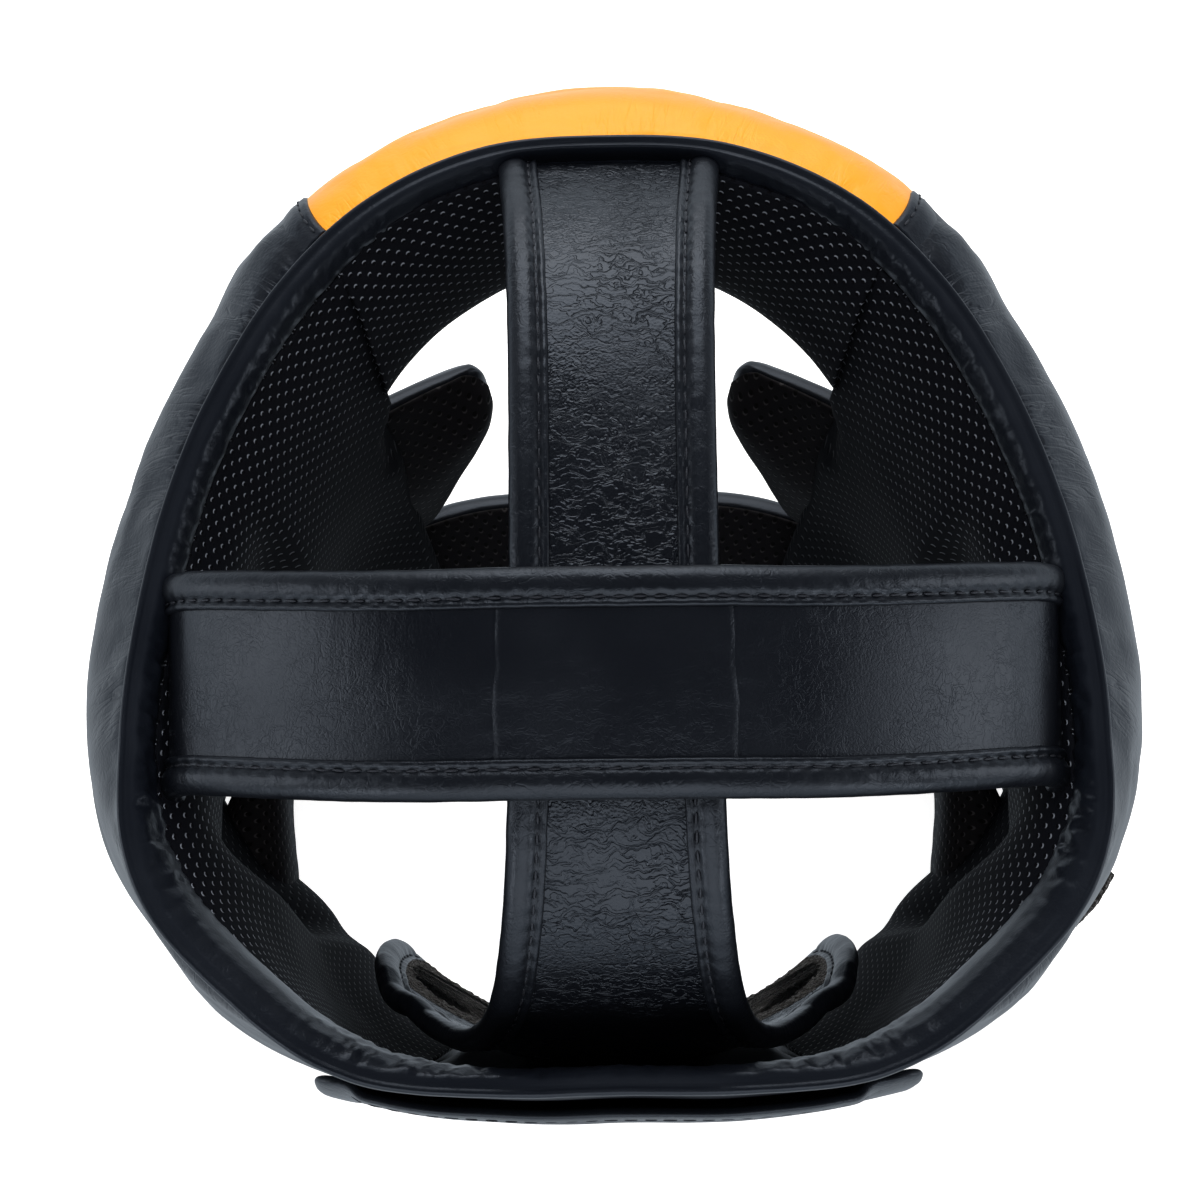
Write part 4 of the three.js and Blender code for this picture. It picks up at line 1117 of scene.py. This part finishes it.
def bandStitches(edgePoint, steps):
    # one row above the strap and one below it
    rows = []
    for top in (1, -1):
        spots = [edgePoint(i, bandLook["sewAt"], bandLook["sewOff"] * top) for i in steps]
        tips = [edgePoint(i, bandLook["sewAt"], bandLook["outside"] * top) for i in steps]
        rows.append([(spot, (tip - spot).normalized()) for spot, tip in zip(spots, tips)])
    return rows


bandCount = strapIndex(strapLook["bandRow"])
strapStitches = []
for name, side in sides.items():
    def edgePoint(i, inward, off):
        return strapPoint(i, side * (halves[i] - inward), off)

    closedPiece(bandGrid(bandCount, edgePoint, strapStep, 51.0 + side), "topStrap" + name.title() + "Band",
                bandLeather, "black_leather", ["top_strap_" + name + "_binding"])
    strapStitches += bandStitches(edgePoint, range(6, bandCount + 1))
stitchPiece("topStrapStitches", strapStitches)
print("crown strap made")


# strap from ear to ear over the crown strap

crossTable = [                      # side, forward, height
    (0, -31.8, 246.4), (24, -31.6, 245.6), (40, -30.6, 241.6), (58, -28, 233.6), (74, -24.4, 223.4),
    (87, -20.6, 212.4), (94.2, -18, 203.8), (97.2, -16.6, 196.5), (97.8, -16.2, 189)]
crossLook = {"along": 380, "across": 30, "width": 46.4, "forward": 0.8, "thick": 2.4, "slope": (0.28, 0.2),
             "droop": 2.4, "shear": 0.14, "crease": 0.045, "seamAt": 25.5, "underBand": 0.6, "bandOver": 0.3}
crossHalf = [Vector((s, -f, z)) for s, f, z in crossTable]
crossOther = [Vector((-p.x, p.y, p.z)) for p in reversed(crossHalf[1:])]
crossLine = smoothLine(crossOther + crossHalf, crossLook["along"])
crossStep = lineLengths(crossLine)[-1] / crossLook["along"]


def crossPoint(i, across, off):
    i = clamp(i, 0, crossLook["along"])
    fromCrown = 2 * i / crossLook["along"] - 1
    along = (crossLine[min(i + 1, crossLook["along"])] - crossLine[max(i - 1, 0)]).normalized()
    wide = Vector((0, -1, mix(*crossLook["slope"], fromCrown ** 2))).normalized()
    away = along.cross(wide).normalized()
    if away.z < 0:
        away = -away
    share = 2 * across / crossLook["width"]
    droop = crossLook["droop"] * (1 - fromCrown ** 2) * share ** 2
    shear = along * crossLook["shear"] * fromCrown * across
    spot = crossLine[i] + wide * (across + crossLook["forward"]) - shear + away * (off - droop)
    return spot * mm + headAxis


def crossGrid():
    half = crossLook["width"] / 2 - crossLook["underBand"]

    def place(i, j):
        across = mix(-half, half, j / crossLook["across"])
        arc = (i - crossLook["along"] / 2) * crossStep
        off = crossLook["crease"] * strapCrease(arc, across, 61.0)
        fromSeam = abs(arc) - crossLook["seamAt"] - 0.7 * ripple(across / 9, 0, 66.0)
        off -= 0.55 * math.exp(-(fromSeam / 0.8) ** 2)                     # sewn to the strap below
        off += 0.5 * math.exp(-(abs(fromSeam) / 6.0)) * ripple(across / 2.6, arc / 12, 67.0)
        return crossPoint(i, across, off), (across * mm, arc * mm)

    return layGrid(crossLook["along"], crossLook["across"], place)


thinPiece(crossGrid(), crossLook["thick"] * mm, "crossStrap", crossLeather, "black_leather", ["cross_strap"])

crossStitches = []
for name, side in {"Front": 1, "Rear": -1}.items():
    def edgePoint(i, inward, off):
        return crossPoint(i, side * (crossLook["width"] / 2 + crossLook["bandOver"] - inward), off)

    closedPiece(bandGrid(crossLook["along"], edgePoint, crossStep, 71.0 + side), "crossStrap" + name + "Band",
                bandLeather, "black_leather", ["cross_strap_" + name.lower() + "_binding"])
    crossStitches += bandStitches(edgePoint, range(4, crossLook["along"] - 3))
stitchPiece("crossStrapStitches", crossStitches)
print("cross strap made")


# closed pads that are lofted along the shell: cheek guards, chin guard and bolsters

cheekTable = [                      # angle, low, top, inner, outer
    (39, 47.5, 119, 84, 106.4), (36.4, 49.2, 118, 83, 106), (33, 50, 116.5, 83, 106), (30, 58, 115, 83.5, 105.6),
    (27, 68, 113.4, 84.5, 105), (24, 77, 112, 85.6, 104.2), (21.8, 83, 111.2, 87.2, 103.2),
    (20.4, 86.5, 110, 88.8, 102.2), (19.4, 90, 108, 91, 100.6), (18.7, 93.6, 105, 93.6, 98.6),
    (18.4, 97.5, 101, 95.6, 96.6)]
chinTable = [                       # angle, inner, outer, low, top
    (0, 64, 88, 0, 46), (12, 65.5, 89.5, 0, 46.8), (24, 69.5, 93, 0, 48), (36.4, 74, 96, 3, 48.6),
    (39, 75, 96.8, 3.6, 48.6)]
bolsterTable = [                    # angle, inner, outer, half height
    (71, 86.2, 89.8, 10), (72.6, 84.2, 92, 15), (76, 83.2, 93, 18.5), (84, 83, 94, 19.5), (89, 82.6, 98, 19.5),
    (95, 82.2, 102, 19.5), (101, 82.6, 102, 18.5), (105, 84.6, 100, 14), (107, 88, 96.5, 9)]
guardLook = {"ring": 72, "roundAcross": 0.68, "roundUp": 0.6, "dent": 0.45, "fill": 0.9, "wedge": 0.62, "slope": 0.5,
             "chinOut": 5, "liningRows": 44, "liningStand": 0.6, "liningWall": 0.8}
bolsterLook = {"along": 60, "first": 70.6, "last": 107.3, "height": 30, "fill": 0.8}


def sectionSpot(inner, outer, low, top, topOut, across, up):
    # the section thins towards its top edge, which leans outward
    thin = 1 - (guardLook["wedge"] * ease(up, -0.1, 1.0) if topOut else 0)
    middle = (inner + outer) / 2 + topOut * ease(up, 0.0, 1.0)
    half = thin * (outer - inner) / 2
    # top face falls outward
    drop = guardLook["slope"] * half * (across + 1) * ease(up, 0.5, 1.0) if topOut else 0
    return Vector((middle + across * half, (low + top) / 2 + up * (top - low) / 2 - drop))


def roundedSection(inner, outer, low, top, topOut, j, count):
    turn = 2 * math.pi * j / count
    across = squareOff(math.cos(turn), guardLook["roundAcross"])
    up = squareOff(math.sin(turn), guardLook["roundUp"])
    return sectionSpot(inner, outer, low, top, topOut, across, up)


def loftGrid(stations, spotAt, onSide, seed, girth):
    count = guardLook["ring"]

    def place(i, j):
        spot = spotAt(stations[i], j % count)
        arc = math.radians(stations[i]) * 95
        push = guardLook["dent"] * ripple(arc / 22, spot.y / 22 + spot.x / 14, seed)
        push += 0.12 * ripple(arc / 6, spot.y / 6 + spot.x / 5, seed + 3)
        out = 1 if math.cos(2 * math.pi * j / count) > 0 else -1
        return onShell(onSide * stations[i], spot + Vector((push * out, 0))), (arc * mm, j * girth / count * mm)

    return layGrid(len(stations) - 1, count, place)


def cheekOut(angle):
    return 3.5 * ease(angle, 17, 20.5) + 0.01


for name, side in sides.items():
    stations = [mix(39, 18.4, 1 - (1 - i / 64) ** 1.5) for i in range(65)]

    def cheekSpot(angle, j):
        low, top, inner, outer = rowAt(cheekTable[::-1], angle)
        return roundedSection(inner, outer, low, top, cheekOut(angle), j, guardLook["ring"])

    bm = loftGrid(stations, cheekSpot, side, 81.0 + side, 180)
    closedPiece(bm, name + "CheekGuard", guardLeather, "black_leather", [name + "_cheek_guard"])


def chinSpot(angle, j):
    inner, outer, low, top = rowAt(chinTable, abs(angle))
    return roundedSection(inner, outer, max(low, 0), top, guardLook["chinOut"], j, guardLook["ring"])


bm = loftGrid(evenly(-39, 39, 110), chinSpot, 1, 91.0, 120)
chinGuard = closedPiece(bm, "chinGuard", guardLeather, "black_leather", ["chin_guard"])

for name, side in sides.items():
    ends, count = (bolsterLook["first"], bolsterLook["last"]), bolsterLook["along"]
    stations = [mix(*ends, 0.5 - 0.5 * math.cos(math.pi * i / count)) for i in range(count + 1)]

    def bolsterSpot(angle, j):
        inner, outer, halfHigh = rowAt(bolsterTable, angle)
        low, top = bolsterLook["height"] - halfHigh, bolsterLook["height"] + halfHigh
        return roundedSection(inner, outer, low, top, 0, j, guardLook["ring"])

    bm = loftGrid(stations, bolsterSpot, side, 95.0 + side, 90)
    bolster = closedPiece(bm, name + "Bolster", bolsterCloth, "lining", [name + "_ear_pad"])


# perforated facing on the inner side of the guards

def guardLining(name, stations, low, high, spotLine, onSide, node, flip, outline=lambda angle: 1):
    cols = guardLook["liningRows"]

    def point(i, j):
        up = mix(low, high, j / cols) * outline(stations[i])
        return onShell(onSide * stations[i], spotLine(stations[i], up))

    def lengths(i, j):
        return (math.radians(stations[i]) * 88 * mm, point(i, j).z)

    bm, cut = sheetGrid(len(stations) - 1, cols, point, lengths, lambda i, j: guardLook["liningStand"],
                        flip)
    piece = thinPiece(bm, guardLook["liningWall"] * mm, name, bolsterCloth, "lining", [node])
    declareSheet(cut)


def innerFace(inner, outer, low, top, topOut, up):
    across = -(1 - abs(up) ** (2 / guardLook["roundUp"])) ** (guardLook["roundAcross"] / 2)
    return sectionSpot(inner, outer, low, top, topOut, across, up)


for name, side in sides.items():
    stations = [mix(38, 19.0, 1 - (1 - i / 56) ** 1.4) for i in range(57)]

    def cheekInner(angle, up):
        low, top, inner, outer = rowAt(cheekTable[::-1], angle)
        return innerFace(inner, outer, low, top, cheekOut(angle), up)

    def cheekOutline(angle):
        return math.sqrt(1 - 0.75 * clamp01((22.5 - angle) / 3.7) ** 2)

    guardLining(name + "CheekLining", stations, -0.9, 0.965, cheekInner, side, name + "_cheek_lining",
                side, cheekOutline)


def chinInner(angle, up):
    inner, outer, low, top = rowAt(chinTable, abs(angle))
    return innerFace(inner, outer, max(low, 0), top, guardLook["chinOut"], up)


guardLining("chinLining", evenly(-38, 38, 90), -0.86, 0.965, chinInner, 1, "chin_lining", -1)
print("guards and bolsters made")


# thin rear panel and the closing strap over it

rearLook = {"along": 110, "ring": 50, "wall": 3.6, "nape": 8.0, "first": 149, "last": 211, "fill": 0.9}


def rearLine(angle, count):
    upOut, midOut, lowOut, lowZ = rowAt(rearTable, foldAngle(angle))
    rim, rimZ = rimAt(angle)
    return smoothLine([(rim - 0.9, rimZ - 4.6), (upOut, 144), (midOut, 93), (lowOut, lowZ)], count)


def rearGrid():
    count = rearLook["ring"]
    stations = evenly(rearLook["first"], rearLook["last"], rearLook["along"])
    lines = [rearLine(angle, count) for angle in stations]

    def place(i, j):
        angle = stations[i]
        j = j % (2 * count + 2)
        k = j if j <= count else 2 * count + 1 - j
        spot = lines[i][k].copy()
        across = (lines[i][min(k + 1, count)] - lines[i][max(k - 1, 0)]).normalized()
        inner = j > count
        arc = math.radians(angle) * 95
        push = 0.4 * ripple(arc / 26, spot.y / 26, 101.0) * ease(k, 0, 6)
        spot += Vector((-across.y, across.x)) * push
        if inner:
            roll = between(spot.y, 46, 86, 16) * (1 - ease(abs(angle - 180), 26, 31))
            wall = rearLook["wall"] + rearLook["nape"] * roll
            spot += Vector((across.y, -across.x)) * wall * (1 if across.y < 0 else -1)
        return onShell(angle, spot), (arc * mm, k * 3 * mm)

    return layGrid(rearLook["along"], 2 * count + 2, place)


rearPanel = closedPiece(rearGrid(), "rearPanel", rearLeather, "black_leather", ["rear_panel"])

closureLook = {"along": 150, "ring": 64, "thick": 4.2, "middle": 128.0, "halfHigh": 30.0, "ends": 35.8, "rounded": 4.0,
               "nose": 1.5, "sew": 5.5, "sewShort": 3.6, "sewSink": 0.62, "radius": 104, "rows": 10}


def closureRadius(angle, height):
    fold = foldAngle(angle)
    if fold >= shell["rearSeam"]:
        line = rearLine(angle, 60)
    else:
        line = sideLines(fold, 60, angle)[0]
    for a, b in zip(line, line[1:]):
        if (a.y - height) * (b.y - height) <= 0 and a.y != b.y:
            return mix(a.x, b.x, (a.y - height) / (a.y - b.y))
    return line[-1].x


def closureHalf(fromRear):
    inset = clamp01((closureLook["ends"] - abs(fromRear)) / closureLook["rounded"])
    return closureLook["halfHigh"] * (0.8 + 0.2 * math.sqrt(1 - (1 - inset) ** 2))


closureLow = closureLook["middle"] - closureLook["halfHigh"]
closureHeights = evenly(closureLow, closureLow + 2 * closureLook["halfHigh"], closureLook["rows"])


def closureRow(angle):
    # the strap stands upright above the pads' fullest place
    radii = [closureRadius(angle, height) for height in closureHeights]
    for k in range(closureLook["rows"] // 2 + 1, len(radii)):
        radii[k] = max(radii[k], radii[k - 1] - 0.5)
    return (angle, *radii)


closureTable = [closureRow(142.01 + 2 * k) for k in range(39)]


def closureSpot(fromRear, height, off):
    radii = rowAt(closureTable, 180 + fromRear)
    at = clamp01((height - closureLow) / (2 * closureLook["halfHigh"])) * closureLook["rows"]
    k = min(int(at), closureLook["rows"] - 1)
    clear = mix(0.1, 1.1, ease(height, 106, 136))                            # its lower half lies on the rear panel
    return Vector((mix(radii[k], radii[k + 1], at - k) + clear + off, height))


def closureAngle(i, ends):
    return ends * math.sin(math.pi / 2 * (2 * i / closureLook["along"] - 1))


def closureGrid():
    count = closureLook["ring"]

    def place(i, j):
        fromRear = closureAngle(i, closureLook["ends"])
        half = closureHalf(fromRear)
        turn = 2 * math.pi * (j % count) / count
        up = squareOff(math.sin(turn), 0.9)
        edge = abs(up) ** 14
        thick = closureLook["thick"] / 2
        nose = clamp01((closureLook["ends"] - abs(fromRear)) / closureLook["nose"])
        across = squareOff(math.cos(turn), 0.36)
        across *= mix(0.25, 1, math.sqrt(1 - (1 - nose) ** 2))
        arc = math.radians(fromRear) * closureLook["radius"]
        wave = 0.3 * ripple(arc / 18, up * 2, 111.0) * ease(up, -0.8, 0.2)
        height = closureLook["middle"] + half * up
        spot = closureSpot(fromRear, height, thick + thick * across * (1 - 0.2 * edge) + wave)
        sewn = math.exp(-((half * (1 - abs(up)) - closureLook["sew"]) / 1.0) ** 2)
        if across > 0:
            spot.x -= 0.35 * sewn * (1 - ease(abs(fromRear), 29, 33))
        return onShell(180 + fromRear, spot), (arc * mm, height * mm)

    return layGrid(closureLook["along"], count, place)


closedPiece(closureGrid(), "closureStrap", bandLeather, "black_leather", ["closure_strap"])

closureStitches = []
for up in (1, -1):
    path = []
    for i in range(8, 143):
        fromRear = closureAngle(i, closureLook["ends"] - closureLook["sewShort"])
        height = closureLook["middle"] + up * (closureHalf(fromRear) - closureLook["sew"])
        spot = closureSpot(fromRear, height, closureLook["thick"] - closureLook["sewSink"])
        path.append((onShell(180 + fromRear, spot), onShell(180 + fromRear, Vector((1, 0))) - headAxis))
    closureStitches.append(path)
stitchPiece("closureStitches", closureStitches)
print("rear panel and closing strap made")


# pile patches on the tail and the small tape end

pileLook = {"rows": 120, "across": 60, "height": 1.1, "first": 21.1, "last": 25.4, "from": 23.5, "edge": 6.0}


def pileGrid(side):
    first = strapIndex(pileLook["first"])
    span = strapIndex(pileLook["last"]) - first

    def place(i, j):
        at = first + span * i / pileLook["rows"]
        k = min(int(at), strapLook["along"] - 1)
        half = mix(halves[k], halves[k + 1], at - k)
        share = j / pileLook["across"]
        across = mix(pileLook["from"], half - pileLook["edge"], share)
        edge = min(share, 1 - share, i / pileLook["rows"], 1 - i / pileLook["rows"])
        loops = 0.55 + 0.45 * ripple(across * 0.9, at * strapStep * 0.9, 121.0 + side)
        fuzz = pileLook["height"] * loops * ease(edge, 0, 0.05)
        low = -strapLook["thick"] / 2 - 0.1
        a, b = strapPoint(k, side * across, low - fuzz), strapPoint(k + 1, side * across, low - fuzz)
        return a.lerp(b, at - k), (across * mm, at * strapStep * mm)

    return layGrid(pileLook["rows"], pileLook["across"], place)


for name, side in sides.items():
    closedPiece(pileGrid(side), name + "PilePatch", pileFuzz, "pile", [name + "_loop_patch"])

tabLook = {"angle": -112.5, "half": 2.2, "low": 104.0, "high": 130.0, "thick": 2.6, "teeth": 7, "rows": 56,
           "across": 40}


def tabGrid():
    def place(i, j):
        up, across = i / tabLook["rows"], j / tabLook["across"]
        tooth = abs(((up * tabLook["teeth"]) % 1) - 0.5) * 2
        angle = tabLook["angle"] + tabLook["half"] * (2 * across - 1) * (0.8 + 0.2 * tooth)
        height = mix(tabLook["low"], tabLook["high"], up)
        bulge, bulgeZ, midOut, *rest = rowAt(sideTable, abs(angle))
        radius = mix(midOut, bulge, ease(height, 60, bulgeZ + 12)) + 1.4
        fuzz = 0.25 * ripple(up * 30, across * 14, 131.0)
        return onShell(angle, Vector((radius + fuzz, height))), (across * 9 * mm, height * mm)

    return layGrid(tabLook["rows"], tabLook["across"], place)


thinPiece(tabGrid(), tabLook["thick"] * mm, "hookTab", pileFuzz, "pile", ["hook_tab"])
print("tapes made")


# folded hem of the side panels over the ends of the forehead panel, with its stitches

hemLook = {"along": 120, "across": 12, "top": 2.5, "length": 84.0, "slant": 2.4, "slantLift": 0.5, "wall": 0.5,
           "sewAt": -0.4, "sewOff": 0.82, "outside": 2.5}
hemProfile = [                      # across the seam, off the panels
    (-2.5, -0.9), (-2.45, 0.2), (-1.9, 0.62), (-1.0, 0.6), (-0.2, 0.42), (0.9, 0.5), (2.4, 0.35), (4.5, -0.1),
    (7.0, -0.9)]
hemLine = smoothLine(hemProfile, hemLook["across"])
hemStep = hemLook["length"] / hemLook["along"]


def pointAlong(line, length):
    for a, b in zip(line, line[1:]):
        step = (b - a).length
        if length <= step:
            return a.lerp(b, length / step)
        length -= step
    return line[-1]


def hemColumns(side, places):
    # lines down the panels beside the seam, one for each place across it
    columns = []
    for across in places:
        angle = shell["frontSeam"] + math.degrees(across / foreheadLook["radius"])
        if across >= 0:
            line = sideLines(angle, hemLook["along"], side * angle)[0]
        else:
            line = foreheadLines(side * angle, hemLook["along"])[0]
        dense = [pointAlong(line, hemLook["top"] + i * hemStep) for i in range(hemLook["along"] + 1)]
        columns.append((angle, dense))
    return columns


def hemPoint(columns, side, i, j, off):
    angle, line = columns[j]
    along = (line[min(i + 1, len(line) - 1)] - line[max(i - 1, 0)]).normalized()
    slant = ease(i * hemStep, 2, 30)                 # the seam runs forward below the rim
    lifted = off + hemLook["slantLift"] * slant
    return onShell(side * (angle - hemLook["slant"] * slant), line[i] + Vector((-along.y, along.x)) * lifted)


hemStitches = []
for name, side in sides.items():
    columns = hemColumns(side, [spot.x for spot in hemLine])

    def place(i, j):
        arc = i * hemStep
        off = hemLine[j].y + 0.12 * ripple(arc / 3.2, j / 3, 141.0 + side)
        return hemPoint(columns, side, i, j, off), (hemLine[j].x * mm, arc * mm)

    bm = layGrid(hemLook["along"], hemLook["across"], place)
    thinPiece(bm, hemLook["wall"] * mm, name + "SeamFold", trimLeather, "black_leather")
    sewColumn = hemColumns(side, [hemLook["sewAt"]])
    path = []
    for i in range(2, hemLook["along"]):
        spot = hemPoint(sewColumn, side, i, 0, hemLook["sewOff"])
        path.append((spot, (hemPoint(sewColumn, side, i, 0, hemLook["outside"]) - spot).normalized()))
    hemStitches.append(path)
stitchPiece("seamStitches", hemStitches, pitch=3.6, length=2.6, radius=0.3)
print("seam folds made")


# stitches and vents on the outer faces

def onPad(piece, angle, height):
    # place and direction where a line from outside meets the pad
    start = onShell(angle, Vector((170, height)))
    hit, spot, normal, face = piece.ray_cast(start, (onShell(angle, Vector((0, height))) - start).normalized())
    return (spot, normal) if hit else None


def padPath(piece, places):
    found = [onPad(piece, angle, height) for angle, height in places]
    return [(spot - normal * stitchLook["sink"] * mm, normal) for spot, normal in filter(None, found)]


ventLook = {"ring": 2.3, "tube": 0.55, "sink": 0.15, "segments": 20, "tubeSegments": 8,
            "places": ((0, 0), (-10, 0), (10, 0), (-5, 9), (5, 9), (-5, -9), (5, -9), (0, 18), (0, -18))}


def earPlace(side, across, up):
    return side * (earPanel["angle"] + math.degrees(across / earPanel["radius"])), earPanel["height"] + up


def ventRing(bm, spot, normal):
    known = set(bm.verts)
    ringAt = Matrix.Translation((ventLook["ring"] * mm, 0, 0)) @ Matrix.Rotation(math.pi / 2, 4, "X")
    loop = bmesh.ops.create_circle(bm, segments=ventLook["tubeSegments"], radius=ventLook["tube"] * mm,
                                   matrix=ringAt)["verts"]
    edges = list({edge for vert in loop for edge in vert.link_edges})
    bmesh.ops.spin(bm, geom=loop + edges, cent=(0, 0, 0), axis=(0, 0, 1), angle=2 * math.pi,
                   steps=ventLook["segments"], use_merge=True)
    known |= {vert for vert in bm.verts if vert not in known and not vert.link_faces}
    ring = [vert for vert in bm.verts if vert not in known]
    inside = bmesh.ops.create_circle(bm, cap_ends=True, segments=ventLook["segments"],
                                     radius=ventLook["ring"] * mm)["verts"]
    for face in {face for vert in inside for face in vert.link_faces}:
        face.material_index = 1
    turn = normal.to_track_quat("Z", "Y").to_matrix().to_4x4()
    seat = Matrix.Translation(spot - normal * ventLook["sink"] * mm) @ turn
    bmesh.ops.transform(bm, matrix=seat, verts=ring + inside)


bpy.context.view_layer.update()
padStitches = []
for name, side in sides.items():
    outline = []
    for k in range(241):
        turn = 2 * math.pi * k / 240
        power = 2 / earPanel["square"]
        across = (earPanel["halfWide"] - earPanel["sewInset"]) * squareOff(math.cos(turn), power)
        up = (earPanel["halfHigh"] - earPanel["sewInset"]) * squareOff(math.sin(turn), power)
        outline.append(earPlace(side, across, up))
    padStitches.append(padPath(pads[name], outline))
    sewHeight = lowerHem["height"] + lowerHem["sewAbove"]
    hemRow = evenly(lowerHem["sewFrom"], lowerHem["sewTo"], 200)
    padStitches.append(padPath(pads[name], [(side * angle, lowEdge(angle) + sewHeight) for angle in hemRow]))
    bm = bmesh.new()
    for across, up in ventLook["places"]:
        ventRing(bm, *onPad(pads[name], *earPlace(side, across, up)))
    bmesh.ops.recalc_face_normals(bm, faces=bm.faces)
    vents = makePiece(bm, name + "EarVents", trimLeather, "black_leather")
    vents.data.materials.append(threadBlack)
browRow = evenly(-foreheadLook["sewTo"], foreheadLook["sewTo"], 150)
padStitches.append(padPath(foreheadPad, [(angle, foreheadLook["sewZ"]) for angle in browRow]))
stitchPiece("padStitches", padStitches)
print("pad stitches and vents made")


# camera, floor and light

cameraLook = {"aimZ": 0.207, "distance": 1.0, "elevation": 72.0, "lens": 136.5, "sideways": 0.00303, "roll": -0.63}
aim = Vector((cameraLook["sideways"], axisY, cameraLook["aimZ"]))
lift = math.radians(cameraLook["elevation"])
cameraData = bpy.data.cameras.new("camera")
cameraData.lens = cameraLook["lens"]
cameraData.sensor_width = 36
camera = bpy.data.objects.new("camera", cameraData)
bpy.context.scene.collection.objects.link(camera)
camera.location = aim + Vector((0, math.cos(lift), math.sin(lift))) * cameraLook["distance"]
turned = (aim - camera.location).to_track_quat("-Z", "Y")
camera.rotation_mode = "QUATERNION"
camera.rotation_quaternion = turned @ Quaternion((0, 0, 1), math.radians(cameraLook["roll"]))
bpy.context.scene.camera = camera
bpy.context.scene.view_settings.view_transform = "Standard"

floorLook = {"size": 12.0, "colour": (0.9, 0.9, 0.9), "glow": 0.88, "mirror": 0.62, "tint": (0.78, 0.89, 1.0),
             "bounce": 0.02, "shade": 0.1, "rough": 0.9}
bm = bmesh.new()
bmesh.ops.create_grid(bm, x_segments=1, y_segments=1, size=floorLook["size"])
mesh = bpy.data.meshes.new("floor")
bm.to_mesh(mesh)
bm.free()
floor = bpy.data.objects.new("floor", mesh)
bpy.context.scene.collection.objects.link(floor)
floorPaper, tree, shader = newMaterial("floorPaper", Roughness=floorLook["rough"])
sight = addNode(tree, "LightPath", (3, 3))
mirrored = addNode(tree, "MapRange", (4, 3), {"To Min": floorLook["bounce"], "To Max": floorLook["mirror"]})
glow = addNode(tree, "MapRange", (5, 3), {"To Max": floorLook["glow"]})
paper = mixNode(tree, (5, 1), (floorLook["shade"],) * 3, floorLook["colour"])
light = mixNode(tree, (5, 5), floorLook["tint"], (1, 1, 1))
wire(tree, ((sight, "Is Camera Ray"), (paper, "Factor")), ((paper, 2), (shader, "Base Color")),
     ((sight, "Is Camera Ray"), (light, "Factor")), ((light, 2), (shader, "Emission Color")),
     ((sight, "Is Glossy Ray"), (mirrored, "Value")), ((mirrored, "Result"), (glow, "To Min")),
     ((sight, "Is Camera Ray"), (glow, "Value")), ((glow, "Result"), (shader, "Emission Strength")))
mesh.materials.append(floorPaper)

world = bpy.context.scene.world or bpy.data.worlds.new("studio")
bpy.context.scene.world = world
world.use_nodes = True
tree = world.node_tree
background = tree.nodes["Background"]
worldLook = {"strength": 0.9,        # steps: height and grey of the room
             "steps": ((0.0, 0.2), (0.14, 0.2), (0.38, 0.45), (0.68, 0.06), (1.0, 0.03))}
coords = addNode(tree, "TexCoord", (-5, 0))
split = addNode(tree, "SeparateXYZ", (-4, 0))
fade = addNode(tree, "ValToRGB", (-3, 0))
fade.color_ramp.interpolation = "EASE"
while len(fade.color_ramp.elements) < len(worldLook["steps"]):
    fade.color_ramp.elements.new(0.5)
for step, (height, grey) in zip(fade.color_ramp.elements, worldLook["steps"]):
    step.position, step.color = height, (grey, grey, grey, 1)
wire(tree, ((coords, "Generated"), (split, 0)), ((split, "Z"), (fade, "Fac")),
     ((fade, "Color"), (background, "Color")))
background.inputs["Strength"].default_value = worldLook["strength"]


def areaLight(name, place, target, size, power, glossy=True):
    data = bpy.data.lights.new(name, "AREA")
    data.energy = power
    data.size = size
    lamp = bpy.data.objects.new(name, data)
    bpy.context.scene.collection.objects.link(lamp)
    lamp.location = place
    lamp.rotation_mode = "QUATERNION"
    lamp.rotation_quaternion = (Vector(target) - Vector(place)).to_track_quat("-Z", "Y")
    lamp.visible_glossy = glossy
    return lamp


areaLight("topSoft", (0.0, -0.15, 1.7), (0, 0, 0.1), 1.4, 24.0, glossy=False)
areaLight("frontSoft", (0.0, -1.5, 0.9), (0, 0, 0.2), 1.3, 14.0)
areaLight("backSoft", (0.0, 1.6, 0.75), (0, 0, 0.2), 1.5, 11.0)
browLight = areaLight("browSoft", (0.0, -1.1, 0.4), (0, -0.1, 0.18), 0.8, 2.4, glossy=False)
browLight.data.color = (1.0, 0.93, 0.78)
areaLight("leftSoft", (1.7, 0.1, 0.5), (0, 0, 0.15), 1.0, 6.0)
areaLight("rightSoft", (-1.7, 0.1, 0.5), (0, 0, 0.15), 1.0, 6.0)
areaLight("rearLeftSoft", (1.2, 1.3, 0.4), (0, 0.05, 0.12), 0.6, 4.0)
areaLight("rearRightSoft", (-1.2, 1.3, 0.4), (0, 0.05, 0.12), 0.6, 4.0)
print("camera, floor and light set")
